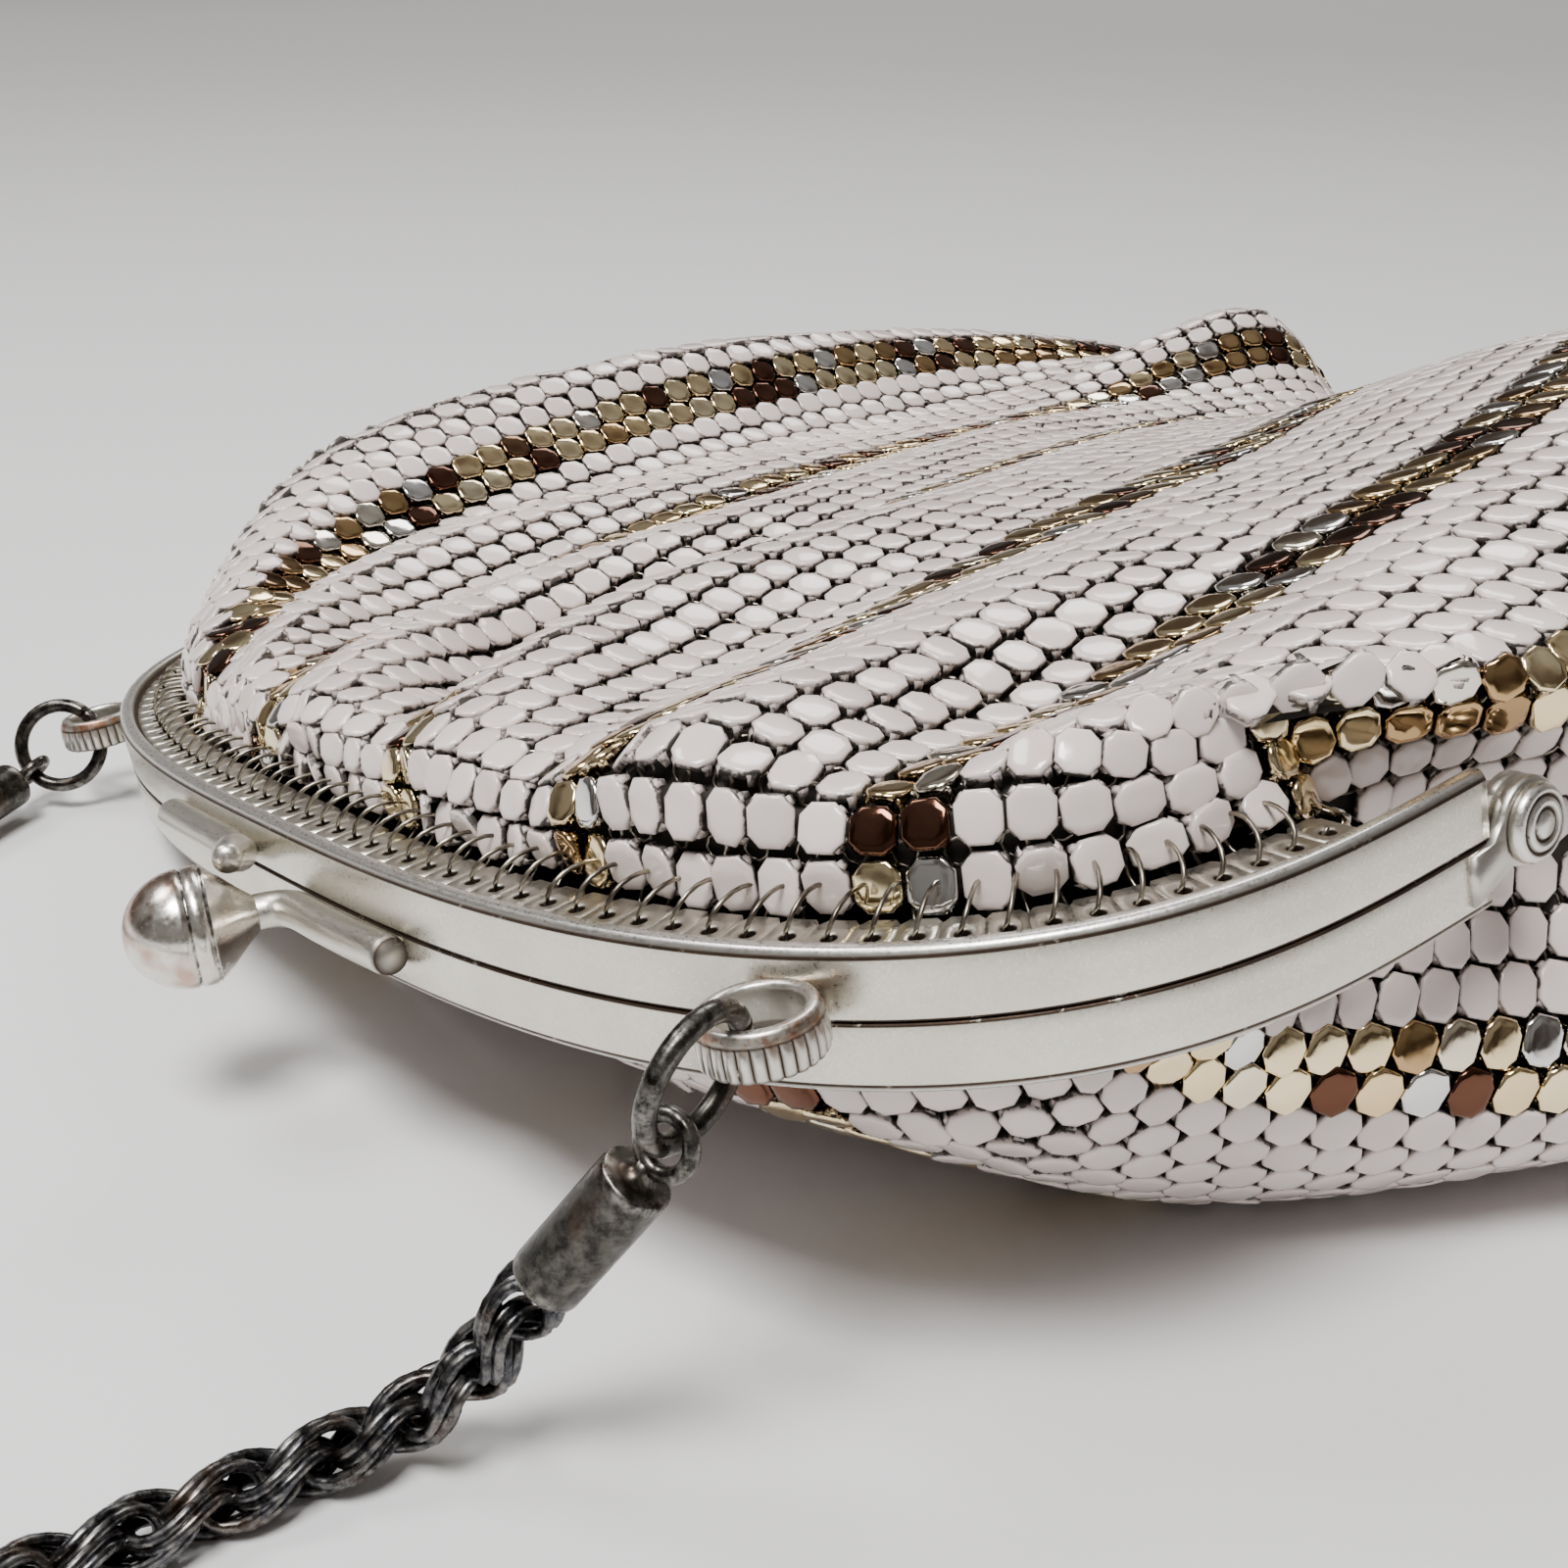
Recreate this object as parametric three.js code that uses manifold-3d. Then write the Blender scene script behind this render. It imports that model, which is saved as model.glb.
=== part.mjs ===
// A metal mesh purse lying on its back: an arched metal frame in two halves with a ball catch,
// a gathered bag of linked plates, and a rope chain handle laid in front. Millimetres, +Z up.
// The origin is on the table under the middle of the hinge line, +Y runs to the bag's bottom.
import * as THREE from 'three';
import { mergeVertices } from 'three/addons/utils/BufferGeometryUtils.js';
import Module from 'manifold-3d';

const wasm = await Module();
wasm.setup();

// Frame: half of the arch's width, its drop from the hinge line to the catch, and how it lies
const archHalfWidth = 70.6;
const archDrop = 42.3;
const archPower = 2.87;
const archHeel = 3.4;
const frameHeight = 18.9;
const frameRoll = THREE.MathUtils.degToRad(10.4);
const framePitch = THREE.MathUtils.degToRad(4.5);
const fit = 0.3;

// Band and sewing flange of each half
const bandHeight = 4.3;
const bandWall = 1.3;
const rimBevel = 0.35;
const flangeWidth = 3.9;
const flangeWall = 0.9;
const flangeSink = 2.2;
const sewHole = 0.9;
const sewPitch = 2.7;
const sewHoleInset = 1.6;

// Hinge ears and rivets
const earWall = 1.0;
const earRadius = 3.0;
const earBack = 3.4;
const rivetShank = 1.0;
const rivetHeadRadius = 2.45;
const rivetHead = 1.0;

// Ball catch: two rods on the band, a ball knob on one and a finger on the other
const rodRadius = 1.25;
const rodLength = 15.5;
const knobRadius = 4.05;
const knobCollar = 1.4;
const knobCone = 3.4;
const knobLean = THREE.MathUtils.degToRad(5);

// Milled rings on the band, jump rings, and the chain with its end caps
const ringRadius = 3.35;
const ringWall = 1.1;
const ringHeight = 2.1;
const ringPlain = 0.7;
const ringRibs = 28;
const ringRibDepth = 0.2;
const ringShare = 0.551;
const jumpRadius = 4.5;
const jumpWire = 0.65;
const eyeRadius = 2.1;
const eyeWire = 0.5;
const capRadius = 2.15;
const capLength = 9;
const capWall = 0.35;
const chainRadius = 2.1;
const chainSeat = 0;

// Bag
const bagHalfWidth = 88;
const bagHeight = 46;
const bagLength = 146;
const bagWall = 1.5;
const lipRise = 10;
const seamHeight = 5;
const seamRound = 6;
const bagSetBack = 3;

const colours = {
  silver: { color: 0xb4b1a8, roughness: 0.42, metalness: 1 },
  enamel: { color: 0xd9d0cf, roughness: 0.25, metalness: 0 },
  dark: { color: 0x55554f, roughness: 0.4, metalness: 1 },
};

// Solids: three.js geometry to manifold and back

function toSolid(geometry) {
  const bare = geometry.clone();
  bare.deleteAttribute('normal');
  bare.deleteAttribute('uv');
  const merged = mergeVertices(bare, 1e-4);
  return new wasm.Manifold(new wasm.Mesh({
    numProp: 3,
    vertProperties: new Float32Array(merged.attributes.position.array),
    triVerts: new Uint32Array(merged.index.array),
  }));
}

function toGeometry(solid) {
  const mesh = solid.getMesh();
  const geometry = new THREE.BufferGeometry();
  geometry.setAttribute('position', new THREE.BufferAttribute(mesh.vertProperties, 3));
  geometry.setIndex(new THREE.BufferAttribute(mesh.triVerts, 1));
  return geometry;
}

function joined(geometries) {
  return geometries.map(toSolid).reduce((a, b) => a.add(b));
}

// A closed geometry from rings of points and triangles, turned so that its faces point out
function closedGeometry(points, triangles) {
  const volume = triangles.reduce((sum, [a, b, c]) => {
    const cross = new THREE.Vector3().crossVectors(points[b], points[c]);
    return sum + points[a].dot(cross) / 6;
  }, 0);
  const turned = volume < 0 ? triangles.map(([a, b, c]) => [a, c, b]) : triangles;
  const geometry = new THREE.BufferGeometry().setFromPoints(points);
  geometry.setIndex(turned.flat());
  return geometry;
}

// Quads between rings of equal size; each ring is closed on itself
function ringStrip(first, second, count) {
  const triangles = [];
  for (let i = 0; i < count; i += 1) {
    const next = (i + 1) % count;
    triangles.push([first + i, first + next, second + next], [first + i, second + next, second + i]);
  }
  return triangles;
}

// Arch: points by arc length along the outer line, shifted inwards by an inset

function archLine() {
  const pointCount = 400;
  const line = [new THREE.Vector2(-archHalfWidth, archHeel)];
  for (let i = 0; i <= pointCount; i += 1) {
    const t = (i / pointCount - 0.5) * Math.PI;
    const x = archHalfWidth * Math.sign(t) * Math.abs(Math.sin(t)) ** (2 / archPower);
    line.push(new THREE.Vector2(x, -archDrop * Math.max(Math.cos(t), 0) ** (2 / archPower)));
  }
  line.push(new THREE.Vector2(archHalfWidth, archHeel));
  return line;
}

const arch = (() => {
  const line = archLine();
  const along = [0];
  for (let i = 1; i < line.length; i += 1) along.push(along[i - 1] + line[i].distanceTo(line[i - 1]));
  return { line, along, length: along[along.length - 1] };
})();

// Point at an arc distance from the catch, an inset inwards and a height; also the outward way
function archPlace(arc, inset = 0, z = 0) {
  const goal = THREE.MathUtils.clamp(arc + arch.length / 2, 0, arch.length);
  let i = 1;
  while (i < arch.along.length - 1 && arch.along[i] < goal) i += 1;
  const share = (goal - arch.along[i - 1]) / (arch.along[i] - arch.along[i - 1]);
  const point = arch.line[i - 1].clone().lerp(arch.line[i], share);
  const before = arch.line[Math.max(i - 3, 0)];
  const after = arch.line[Math.min(i + 2, arch.line.length - 1)];
  const way = after.clone().sub(before).normalize();
  const out = new THREE.Vector3(way.y, -way.x, 0);
  return { point: new THREE.Vector3(point.x, point.y, z).addScaledVector(out, -inset), out };
}

// Frame halves: side is 1 for the front half, which lies uppermost, and -1 for the back half

function bandProfile() {
  const low = fit / 2;
  const top = bandHeight;
  const flangeTop = bandHeight - flangeSink;
  return [
    [0, low], [bandWall, low], [bandWall, flangeTop - flangeWall],
    [bandWall + flangeWidth, flangeTop - flangeWall], [bandWall + flangeWidth, flangeTop],
    [bandWall, flangeTop], [bandWall, top - rimBevel], [bandWall - rimBevel, top],
    [rimBevel, top], [0, top - rimBevel],
  ].map(([inset, z]) => new THREE.Vector2(inset, z));
}

function band(side) {
  const profile = bandProfile();
  const sectionCount = 52;
  const points = [];
  for (let i = 0; i <= sectionCount; i += 1) {
    const arc = (i / sectionCount - 0.5) * arch.length;
    for (const corner of profile) points.push(archPlace(arc, corner.x, side * corner.y).point);
  }
  const triangles = [];
  for (let i = 0; i < sectionCount; i += 1) {
    triangles.push(...ringStrip(i * profile.length, (i + 1) * profile.length, profile.length));
  }
  const last = sectionCount * profile.length;
  for (const [a, b, c] of THREE.ShapeUtils.triangulateShape(profile, [])) {
    triangles.push([a, c, b], [last + a, last + b, last + c]);
  }
  return closedGeometry(points, triangles);
}

function sewingHoles(side) {
  const sewn = arch.length - 2 * (archHeel + bandWall + flangeWidth);
  const count = Math.floor(sewn / sewPitch);
  const holes = [];
  for (let i = 0; i <= count; i += 1) {
    const arc = (i / count - 0.5) * sewn;
    const mid = side * (bandHeight - flangeSink - flangeWall / 2);
    const { point } = archPlace(arc, bandWall + sewHoleInset, mid);
    const hole = new THREE.CylinderGeometry(sewHole / 2, sewHole / 2, 3 * flangeWall, 4);
    hole.rotateX(Math.PI / 2);
    hole.translate(point.x, point.y, point.z);
    holes.push(hole);
  }
  return holes;
}

// A hinge ear: a round plate behind the band's end and the strap that carries it
function hingeEar(hand, side) {
  const near = side > 0 ? archHalfWidth - bandWall : archHalfWidth + fit;
  const strap = new THREE.Shape();
  const back = archHeel + earBack;
  strap.moveTo(archHeel - bandHeight / 2, side * fit);
  strap.lineTo(archHeel + fit, side * fit);
  strap.lineTo(back, -side * earRadius * 0.2);
  strap.lineTo(back, side * earRadius);
  strap.lineTo(archHeel - bandHeight / 2, side * (bandHeight - rimBevel));
  const plates = [
    new THREE.ExtrudeGeometry(strap, { depth: earWall, bevelEnabled: false }),
    new THREE.CylinderGeometry(earRadius, earRadius, earWall, 20)
      .rotateX(Math.PI / 2).translate(back, 0, earWall / 2),
  ];
  if (side < 0) {
    const step = new THREE.BoxGeometry(bandHeight / 2, bandHeight - 3 * fit, fit + bandWall);
    const stepUp = side * (bandHeight / 2 + fit / 2);
    plates.push(step.translate(archHeel - bandHeight / 4, stepUp, -(fit + bandWall) / 2 + earWall / 2));
  }
  const ear = joined(plates.map((plate) => plate
    .applyMatrix4(new THREE.Matrix4().makeBasis(
      new THREE.Vector3(0, 1, 0), new THREE.Vector3(0, 0, 1), new THREE.Vector3(1, 0, 0),
    )).translate(near, 0, 0)));
  return hand > 0 ? ear : ear.mirror([1, 0, 0]);
}

function rivetBore() {
  const bore = new THREE.CylinderGeometry(rivetShank + fit, rivetShank + fit, 4 * archHalfWidth, 16);
  return bore.rotateZ(Math.PI / 2).translate(0, archHeel + earBack, 0);
}

function rivet(hand) {
  const inner = archHalfWidth - bandWall - fit;
  const outer = archHalfWidth + fit + earWall + fit;
  const profile = [
    [0, inner - rivetHead], [rivetHeadRadius * 0.8, inner - rivetHead], [rivetHeadRadius * 0.8, inner],
    [rivetShank, inner], [rivetShank, outer], [rivetHeadRadius, outer],
    [rivetHeadRadius, outer + rivetHead * 0.6], [rivetHeadRadius * 0.8, outer + rivetHead],
    [0, outer + rivetHead],
  ].map(([r, h]) => new THREE.Vector2(r, h));
  const geometry = new THREE.LatheGeometry(profile, 18);
  return geometry.rotateZ(-hand * Math.PI / 2).translate(0, archHeel + earBack, 0);
}

// Milled ring soldered to the front half's band, with a plain rim over its ribs
function milledRing(hand) {
  const ribbed = new THREE.Shape();
  for (let i = 0; i < 2 * ringRibs; i += 1) {
    const angle = (i / (2 * ringRibs)) * 2 * Math.PI;
    const radius = ringRadius - (i % 2) * ringRibDepth;
    ribbed.lineTo(radius * Math.cos(angle), radius * Math.sin(angle));
  }
  ribbed.closePath();
  const ribs = new THREE.ExtrudeGeometry(ribbed, { depth: ringHeight - ringPlain, bevelEnabled: false });
  const rim = new THREE.CylinderGeometry(
    ringRadius - ringRibDepth, ringRadius, ringPlain + fit, 28,
  ).rotateX(Math.PI / 2).translate(0, 0, ringHeight - (ringPlain + fit) / 2);
  const hole = new THREE.CylinderGeometry(ringRadius - ringWall, ringRadius - ringWall, 3 * ringHeight, 24);
  const ring = joined([ribs, rim]).subtract(toSolid(hole.rotateX(Math.PI / 2)));
  const { point } = archPlace(hand * ringShare * (arch.length / 2), -ringRadius + bandWall / 3, fit);
  return ring.translate([point.x, point.y, point.z]);
}

// Round bar along points, with flat ends
function bar(points, radius, sides = 12) {
  const section = new THREE.Shape();
  section.absarc(0, 0, radius, 0, 2 * Math.PI);
  const path = new THREE.CatmullRomCurve3(points, false, 'centripetal');
  return new THREE.ExtrudeGeometry(section, {
    steps: 3 * (points.length - 1), curveSegments: sides / 2, extrudePath: path, bevelEnabled: false,
  });
}

// Where the two catch rods lie on the band's face, and the knob's root and lean
const rodOut = rodRadius * 0.8;
const catchHeight = bandHeight / 4;

function catchRod(hand, side, ending) {
  const along = [1.35, 1, 0.7, 0.42].map((share) => {
    const { point, out } = archPlace(hand * rodLength * share, 0, side * catchHeight);
    return point.addScaledVector(out, rodOut);
  });
  return bar([...along, ...ending], rodRadius);
}

function knob() {
  const profile = [
    [0, 0], [rodRadius * 0.9, 0], [knobRadius * 0.93, knobCone], [knobRadius, knobCone],
    [knobRadius, knobCone + knobCollar],
  ];
  const domeCount = 6;
  for (let i = 1; i <= domeCount; i += 1) {
    const angle = (i / domeCount) * (Math.PI / 2);
    const rise = knobCone + knobCollar + knobRadius * 1.1 * Math.sin(angle);
    profile.push([i === domeCount ? 0 : knobRadius * Math.cos(angle), rise]);
  }
  const geometry = new THREE.LatheGeometry(profile.map(([r, h]) => new THREE.Vector2(r, h)), 20);
  return geometry.rotateX(Math.PI - knobLean);
}

const knobRoot = new THREE.Vector3(rodRadius * 2.6, -(archDrop + rodRadius * 2.4), -catchHeight);

function frontCatch() {
  const over = knobRoot.clone().add(new THREE.Vector3(0, -rodRadius, 3.4 * rodRadius));
  const turn = new THREE.Vector3(-rodRadius * 1.6, -(archDrop + rodOut + fit), 1.6 * catchHeight);
  return catchRod(-1, 1, [turn, turn.clone().lerp(over, 0.6), over]);
}

function backCatch() {
  const turn = new THREE.Vector3(knobRoot.x + rodRadius * 0.8, -(archDrop + rodOut + fit), -catchHeight);
  const head = knob().rotateZ(-0.25).translate(knobRoot.x, knobRoot.y, knobRoot.z);
  return joined([catchRod(1, -1, [turn, knobRoot]), head]);
}

function frameHalf(side) {
  let solid = toSolid(band(side));
  for (const hand of [-1, 1]) solid = solid.add(hingeEar(hand, side));
  solid = solid.add(side > 0 ? toSolid(frontCatch()) : backCatch());
  if (side > 0) for (const hand of [-1, 1]) solid = solid.add(milledRing(hand));
  solid = solid.subtract(toSolid(rivetBore()));
  for (const hole of sewingHoles(side)) solid = solid.subtract(toSolid(hole));
  return toGeometry(solid);
}

// Placing: the frame lies rolled and pitched on the bag, so points are turned with its group

const frameGroup = new THREE.Group();
frameGroup.rotation.set(framePitch, -frameRoll, 0, 'YXZ');
frameGroup.position.set(0, 0, frameHeight);
frameGroup.updateMatrixWorld(true);

function onTable(point) {
  return point.clone().applyMatrix4(frameGroup.matrixWorld);
}

// Jump ring, eye and cap at each end of the chain, as ways in the table's axes: reach runs over
// the milled ring's wall, hang from there to the jump ring's middle, drop from that middle to
// the cap's eye, and pull along the cap.
const chainEnds = {
  right: { hand: 1, reach: [0.33, -0.88, 0.37], hang: [-0.04, -0.44, -0.9], drop: [-0.04, -0.44, -0.9],
    pull: [-0.41, -0.42, -0.81] },
  left: { hand: -1, reach: [-0.6, -0.8, 0], hang: [0.34, -0.26, -0.9], drop: [-0.22, -0.76, -0.61],
    pull: [0.52, -0.85, -0.06] },
};

function endPlaces({ hand, ...ways }) {
  const way = Object.fromEntries(Object.entries(ways)
    .map(([name, parts]) => [name, new THREE.Vector3(...parts).normalize()]));
  const top = new THREE.Vector3(0, 0, 1).transformDirection(frameGroup.matrixWorld);
  const over = way.reach.clone().addScaledVector(top, -way.reach.dot(top)).normalize();
  const { point } = archPlace(hand * ringShare * (arch.length / 2), -ringRadius + bandWall / 3, fit + ringHeight);
  const centre = onTable(point).addScaledVector(over, ringRadius - ringWall / 2)
    .addScaledVector(top, fit + jumpWire + ringWall / 3)
    .addScaledVector(way.hang, jumpRadius - jumpWire);
  const eye = centre.clone().addScaledVector(way.drop, jumpRadius - jumpWire);
  const capStart = eye.clone().addScaledVector(way.pull, eyeRadius + eyeWire);
  const capEnd = capStart.clone().addScaledVector(way.pull, capLength);
  return { ...way, centre, eye, capStart, capEnd };
}

function jumpRing({ hang, reach, centre }) {
  const ring = new THREE.TorusGeometry(jumpRadius - jumpWire, jumpWire, 6, 18);
  const normal = new THREE.Vector3().crossVectors(hang, reach).normalize();
  const across = new THREE.Vector3().crossVectors(normal, hang);
  return ring.applyMatrix4(new THREE.Matrix4().makeBasis(hang, across, normal))
    .translate(centre.x, centre.y, centre.z);
}

// Barrel cap with a flat eye on a short neck; the chain's end seats in its open end
function endCap({ hang, reach, pull, drop, eye, capStart }) {
  const ringNormal = new THREE.Vector3().crossVectors(hang, reach).normalize();
  const normal = new THREE.Vector3().crossVectors(ringNormal, drop);
  normal.addScaledVector(pull, -normal.dot(pull)).normalize();
  const across = new THREE.Vector3().crossVectors(normal, pull);
  const ring = new THREE.TorusGeometry(eyeRadius - eyeWire, eyeWire, 6, 16)
    .applyMatrix4(new THREE.Matrix4().makeBasis(pull, across, normal)).translate(eye.x, eye.y, eye.z);
  const neck = new THREE.CylinderGeometry(eyeWire, eyeWire, 3 * eyeWire, 8)
    .translate(0, -eyeWire, 0);
  const barrel = new THREE.LatheGeometry([
    [0, 0], [capRadius, 0], [capRadius, capLength], [capRadius - capWall, capLength],
    [capRadius - capWall, 2 * capWall], [0, 2 * capWall],
  ].map(([r, h]) => new THREE.Vector2(r, h)), 16);
  const upright = new THREE.Quaternion().setFromUnitVectors(new THREE.Vector3(0, 1, 0), pull);
  const turned = joined([neck, barrel].map((piece) => piece.applyQuaternion(upright)
    .translate(capStart.x, capStart.y, capStart.z)));
  return toGeometry(turned.add(toSolid(ring)));
}

const ends = { right: endPlaces(chainEnds.right), left: endPlaces(chainEnds.left) };

// Chain: few chosen points on the table between the two caps that hold its ends
const chainRoute = [
  [47, -51.4, 7.2], [44.6, -55.2, 3.5], [43.2, -60, 2.3], [42.2, -70], [41, -84], [38.6, -102], [35, -122],
  [28, -142], [16, -157], [0, -163], [-15, -158], [-27, -144], [-34, -124], [-38, -104],
  [-40.6, -86], [-42.6, -72, 2.2], [-45, -62, 2.4],
];

function chainTube() {
  const seat = ({ capEnd, pull }) => [
    capEnd.clone().addScaledVector(pull, 2 * capWall - chainSeat),
    capEnd.clone().addScaledVector(pull, chainRadius),
  ];
  const [first, second] = seat(ends.right);
  const [last, lastButOne] = seat(ends.left);
  const route = chainRoute.map(([x, y, z = chainRadius]) => new THREE.Vector3(x, y, z));
  const path = new THREE.CatmullRomCurve3([first, second, ...route, lastButOne, last], false, 'centripetal');
  const section = new THREE.Shape();
  section.absarc(0, 0, chainRadius, 0, 2 * Math.PI);
  return new THREE.ExtrudeGeometry(section, {
    steps: 48, curveSegments: 6, extrudePath: path, bevelEnabled: false,
  });
}

// Bag: a row for each fold line, from its place on the mouth to the bottom. mouth is the share
// of half the arch, lip the rise at the frame as a share of lipRise. At the shoulder, middle, far
// and heel stations z is a share of bagHeight and x a share of bagHalfWidth, but of
// archHalfWidth at the shoulder, where the bag leaves the frame.
const foldLines = [
  // side, mouth, lip, shoulder x and z, middle x and z, far x and z, heel x and z
  [1, -1.00, 0.00, -0.93, 0.16, -0.97, 0.24, -1.00, 0.24, -0.92, 0.22],
  [1, -0.70, 0.45, -1.02, 0.54, -0.84, 0.65, -0.86, 0.57, -0.80, 0.38],
  [1, -0.42, 0.45, -0.86, 0.53, -0.74, 0.52, -0.78, 0.48, -0.72, 0.40],
  [1, -0.28, 0.40, -0.75, 0.42, -0.67, 0.45, -0.72, 0.43, -0.66, 0.50],
  [1, -0.22, 0.50, -0.66, 0.47, -0.58, 0.47, -0.66, 0.44, -0.59, 0.60],
  [1, -0.15, 0.40, -0.54, 0.40, -0.47, 0.46, -0.59, 0.43, -0.48, 0.42],
  [1, -0.05, 0.60, -0.36, 0.50, -0.36, 0.53, -0.52, 0.45, -0.40, 0.36],
  [1, 0.08, 0.40, -0.25, 0.40, -0.23, 0.55, -0.44, 0.44, -0.33, 0.32],
  [1, 0.16, 0.55, -0.07, 0.62, -0.10, 0.64, -0.34, 0.50, -0.26, 0.36],
  [1, 0.30, 0.40, 0.12, 0.58, 0.08, 0.70, -0.22, 0.55, -0.18, 0.38],
  [1, 0.44, 0.80, 0.45, 0.77, 0.26, 0.79, -0.06, 0.68, -0.06, 0.46],
  [1, 0.60, 0.45, 0.57, 0.72, 0.46, 0.90, 0.14, 0.86, 0.04, 0.55],
  [1, 0.76, 0.70, 0.77, 0.86, 0.60, 0.96, 0.34, 0.96, 0.22, 0.62],
  [1, 0.95, 0.55, 0.97, 0.88, 0.80, 0.84, 0.64, 0.80, 0.56, 0.52],
  [-1, 1.00, 0.00, 0.92, 0.62, 0.96, 0.46, 0.98, 0.34, 0.84, 0.24],
  [-1, 0.94, 0.45, 1.00, 0.30, 0.90, 0.12, 0.92, 0.08, 0.78, 0.06],
  [-1, 0.72, 0.70, 0.82, 0.05, 0.74, 0.00, 0.74, 0.00, 0.64, 0.00],
  [-1, 0.40, 0.60, 0.45, 0.00, 0.40, 0.00, 0.40, 0.00, 0.36, 0.00],
  [-1, 0.00, 0.50, 0.00, 0.00, 0.00, 0.00, -0.04, 0.00, -0.04, 0.00],
  [-1, -0.45, 0.40, -0.52, 0.00, -0.46, 0.00, -0.50, 0.00, -0.46, 0.00],
  [-1, -0.85, 0.30, -0.90, 0.00, -0.82, 0.00, -0.86, 0.00, -0.78, 0.00],
];
const upperLines = foldLines.filter(([side]) => side > 0).length;
const lowerLines = foldLines.length - upperLines;
const stations = { middle: 0.24, far: 0.62, heel: 0.89, seam: 1 };

// Place on the mouth and on the lip for a share of the arch, a side and a lip rise
function mouthPlaces(mouth, side, lip) {
  const inset = bandWall + flangeWidth + fit;
  const level = side * (bandHeight - flangeSink + 2 * fit);
  const arc = mouth * (arch.length / 2 - archHeel);
  return [
    onTable(archPlace(arc, inset, level).point),
    onTable(archPlace(arc, inset + bagWall, level + side * lip * lipRise).point),
  ];
}

// Knots of each fold line at the shoulder, middle, far, heel and seam
function foldKnots([side, mouth, lip, ...shares]) {
  const [start] = mouthPlaces(mouth, side, lip);
  const hingeReach = archHeel + earBack + earRadius;
  const shoulderY = 0.3 * start.y + bagSetBack + hingeReach * Math.abs(mouth) ** 8;
  const ys = [shoulderY, ...['middle', 'far', 'heel'].map((name) => stations[name] * bagLength)];
  const points = ys.map((y, k) => new THREE.Vector3(
    shares[2 * k] * (k ? bagHalfWidth : archHalfWidth), y, shares[2 * k + 1] * bagHeight,
  ));
  const heel = points[points.length - 1];
  const seamX = heel.x * 0.94;
  const seamY = stations.seam * bagLength - seamRound * (seamX / bagHalfWidth) ** 2;
  return [...points, new THREE.Vector3(seamX, seamY, seamHeight + side * bagWall)];
}

// Closed rings of points round the bag, from the mouth to the bottom seam
function bagRings(rows, perUpper) {
  const lines = foldLines.map(foldKnots);
  const perLower = (perUpper * upperLines) / lowerLines;
  const across = lines[0].map((_, k) => new THREE.CatmullRomCurve3(
    lines.map((line) => line[k]), true, 'centripetal',
  ));
  const lengthwise = [];
  foldLines.forEach(([side, mouth, lip], line) => {
    const [nextSide, nextMouth, nextLip] = foldLines[(line + 1) % foldLines.length];
    const count = side > 0 ? perUpper : perLower;
    for (let k = 0; k < count; k += 1) {
      const share = k / count;
      const between = [[mouth, nextMouth], [side, nextSide], [lip, nextLip]];
      if (Math.abs(mouth) === 1) between[1][0] = 0;
      if (Math.abs(nextMouth) === 1) between[1][1] = 0;
      const start = mouthPlaces(...between.map(([from, to]) => from + (to - from) * share));
      const knots = across.map((loop) => loop.getPoint((line + share) / lines.length));
      lengthwise.push(new THREE.CatmullRomCurve3([...start, ...knots], false, 'centripetal'));
    }
  });
  const rings = [];
  for (let row = 0; row <= rows; row += 1) {
    rings.push(lengthwise.map((curve) => curve.getPoint(row / rows)));
    for (const point of rings[row]) point.z = Math.max(point.z, 0);
  }
  return rings;
}

// Each point moved inwards along the surface normal
function innerRings(rings, wall) {
  const count = rings[0].length;
  return rings.map((ring, row) => ring.map((point, i) => {
    const around = ring[(i + 1) % count].clone().sub(ring[(i + count - 1) % count]);
    const ahead = rings[Math.min(row + 1, rings.length - 1)][i].clone();
    ahead.sub(rings[Math.max(row - 1, 0)][i]);
    const normal = new THREE.Vector3().crossVectors(ahead, around).normalize();
    return point.clone().addScaledVector(normal, wall);
  }));
}

// Strip across a flattened ring, from its upper points to its lower ones
function endStrip(first, count) {
  const triangles = [];
  for (let i = 0; i < count / 2; i += 1) {
    const [a, b] = [first + i, first + i + 1];
    const [c, d] = [first + ((count - i) % count), first + count - i - 1];
    if (a !== c) triangles.push([a, b, c]);
    if (b !== d) triangles.push([b, d, c]);
  }
  return triangles;
}

function bag() {
  const rowCount = 22;
  const outer = bagRings(rowCount, 2);
  const inner = innerRings(outer, bagWall).slice(0, rowCount - 2);
  const count = outer[0].length;
  const points = [...outer, ...inner].flat();
  const triangles = [];
  for (let row = 0; row < rowCount; row += 1) {
    triangles.push(...ringStrip(row * count, (row + 1) * count, count));
  }
  triangles.push(...endStrip(rowCount * count, count));
  const innerStart = (rowCount + 1) * count;
  for (let row = 0; row < inner.length - 1; row += 1) {
    triangles.push(...ringStrip(innerStart + (row + 1) * count, innerStart + row * count, count));
  }
  const innerEnd = endStrip(innerStart + (inner.length - 1) * count, count);
  triangles.push(...innerEnd.map(([a, b, c]) => [a, c, b]));
  triangles.push(...ringStrip(innerStart, 0, count));
  return closedGeometry(points, triangles);
}

// The purse

function named(name, geometry, finish) {
  const mesh = new THREE.Mesh(geometry, new THREE.MeshStandardMaterial(colours[finish]));
  mesh.name = name;
  return mesh;
}

frameGroup.add(named('frame_front_half', frameHalf(1), 'silver'));
frameGroup.add(named('frame_back_half', frameHalf(-1), 'silver'));
frameGroup.add(named('hinge_rivet_right', rivet(1), 'silver'));
frameGroup.add(named('hinge_rivet_left', rivet(-1), 'silver'));

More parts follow.
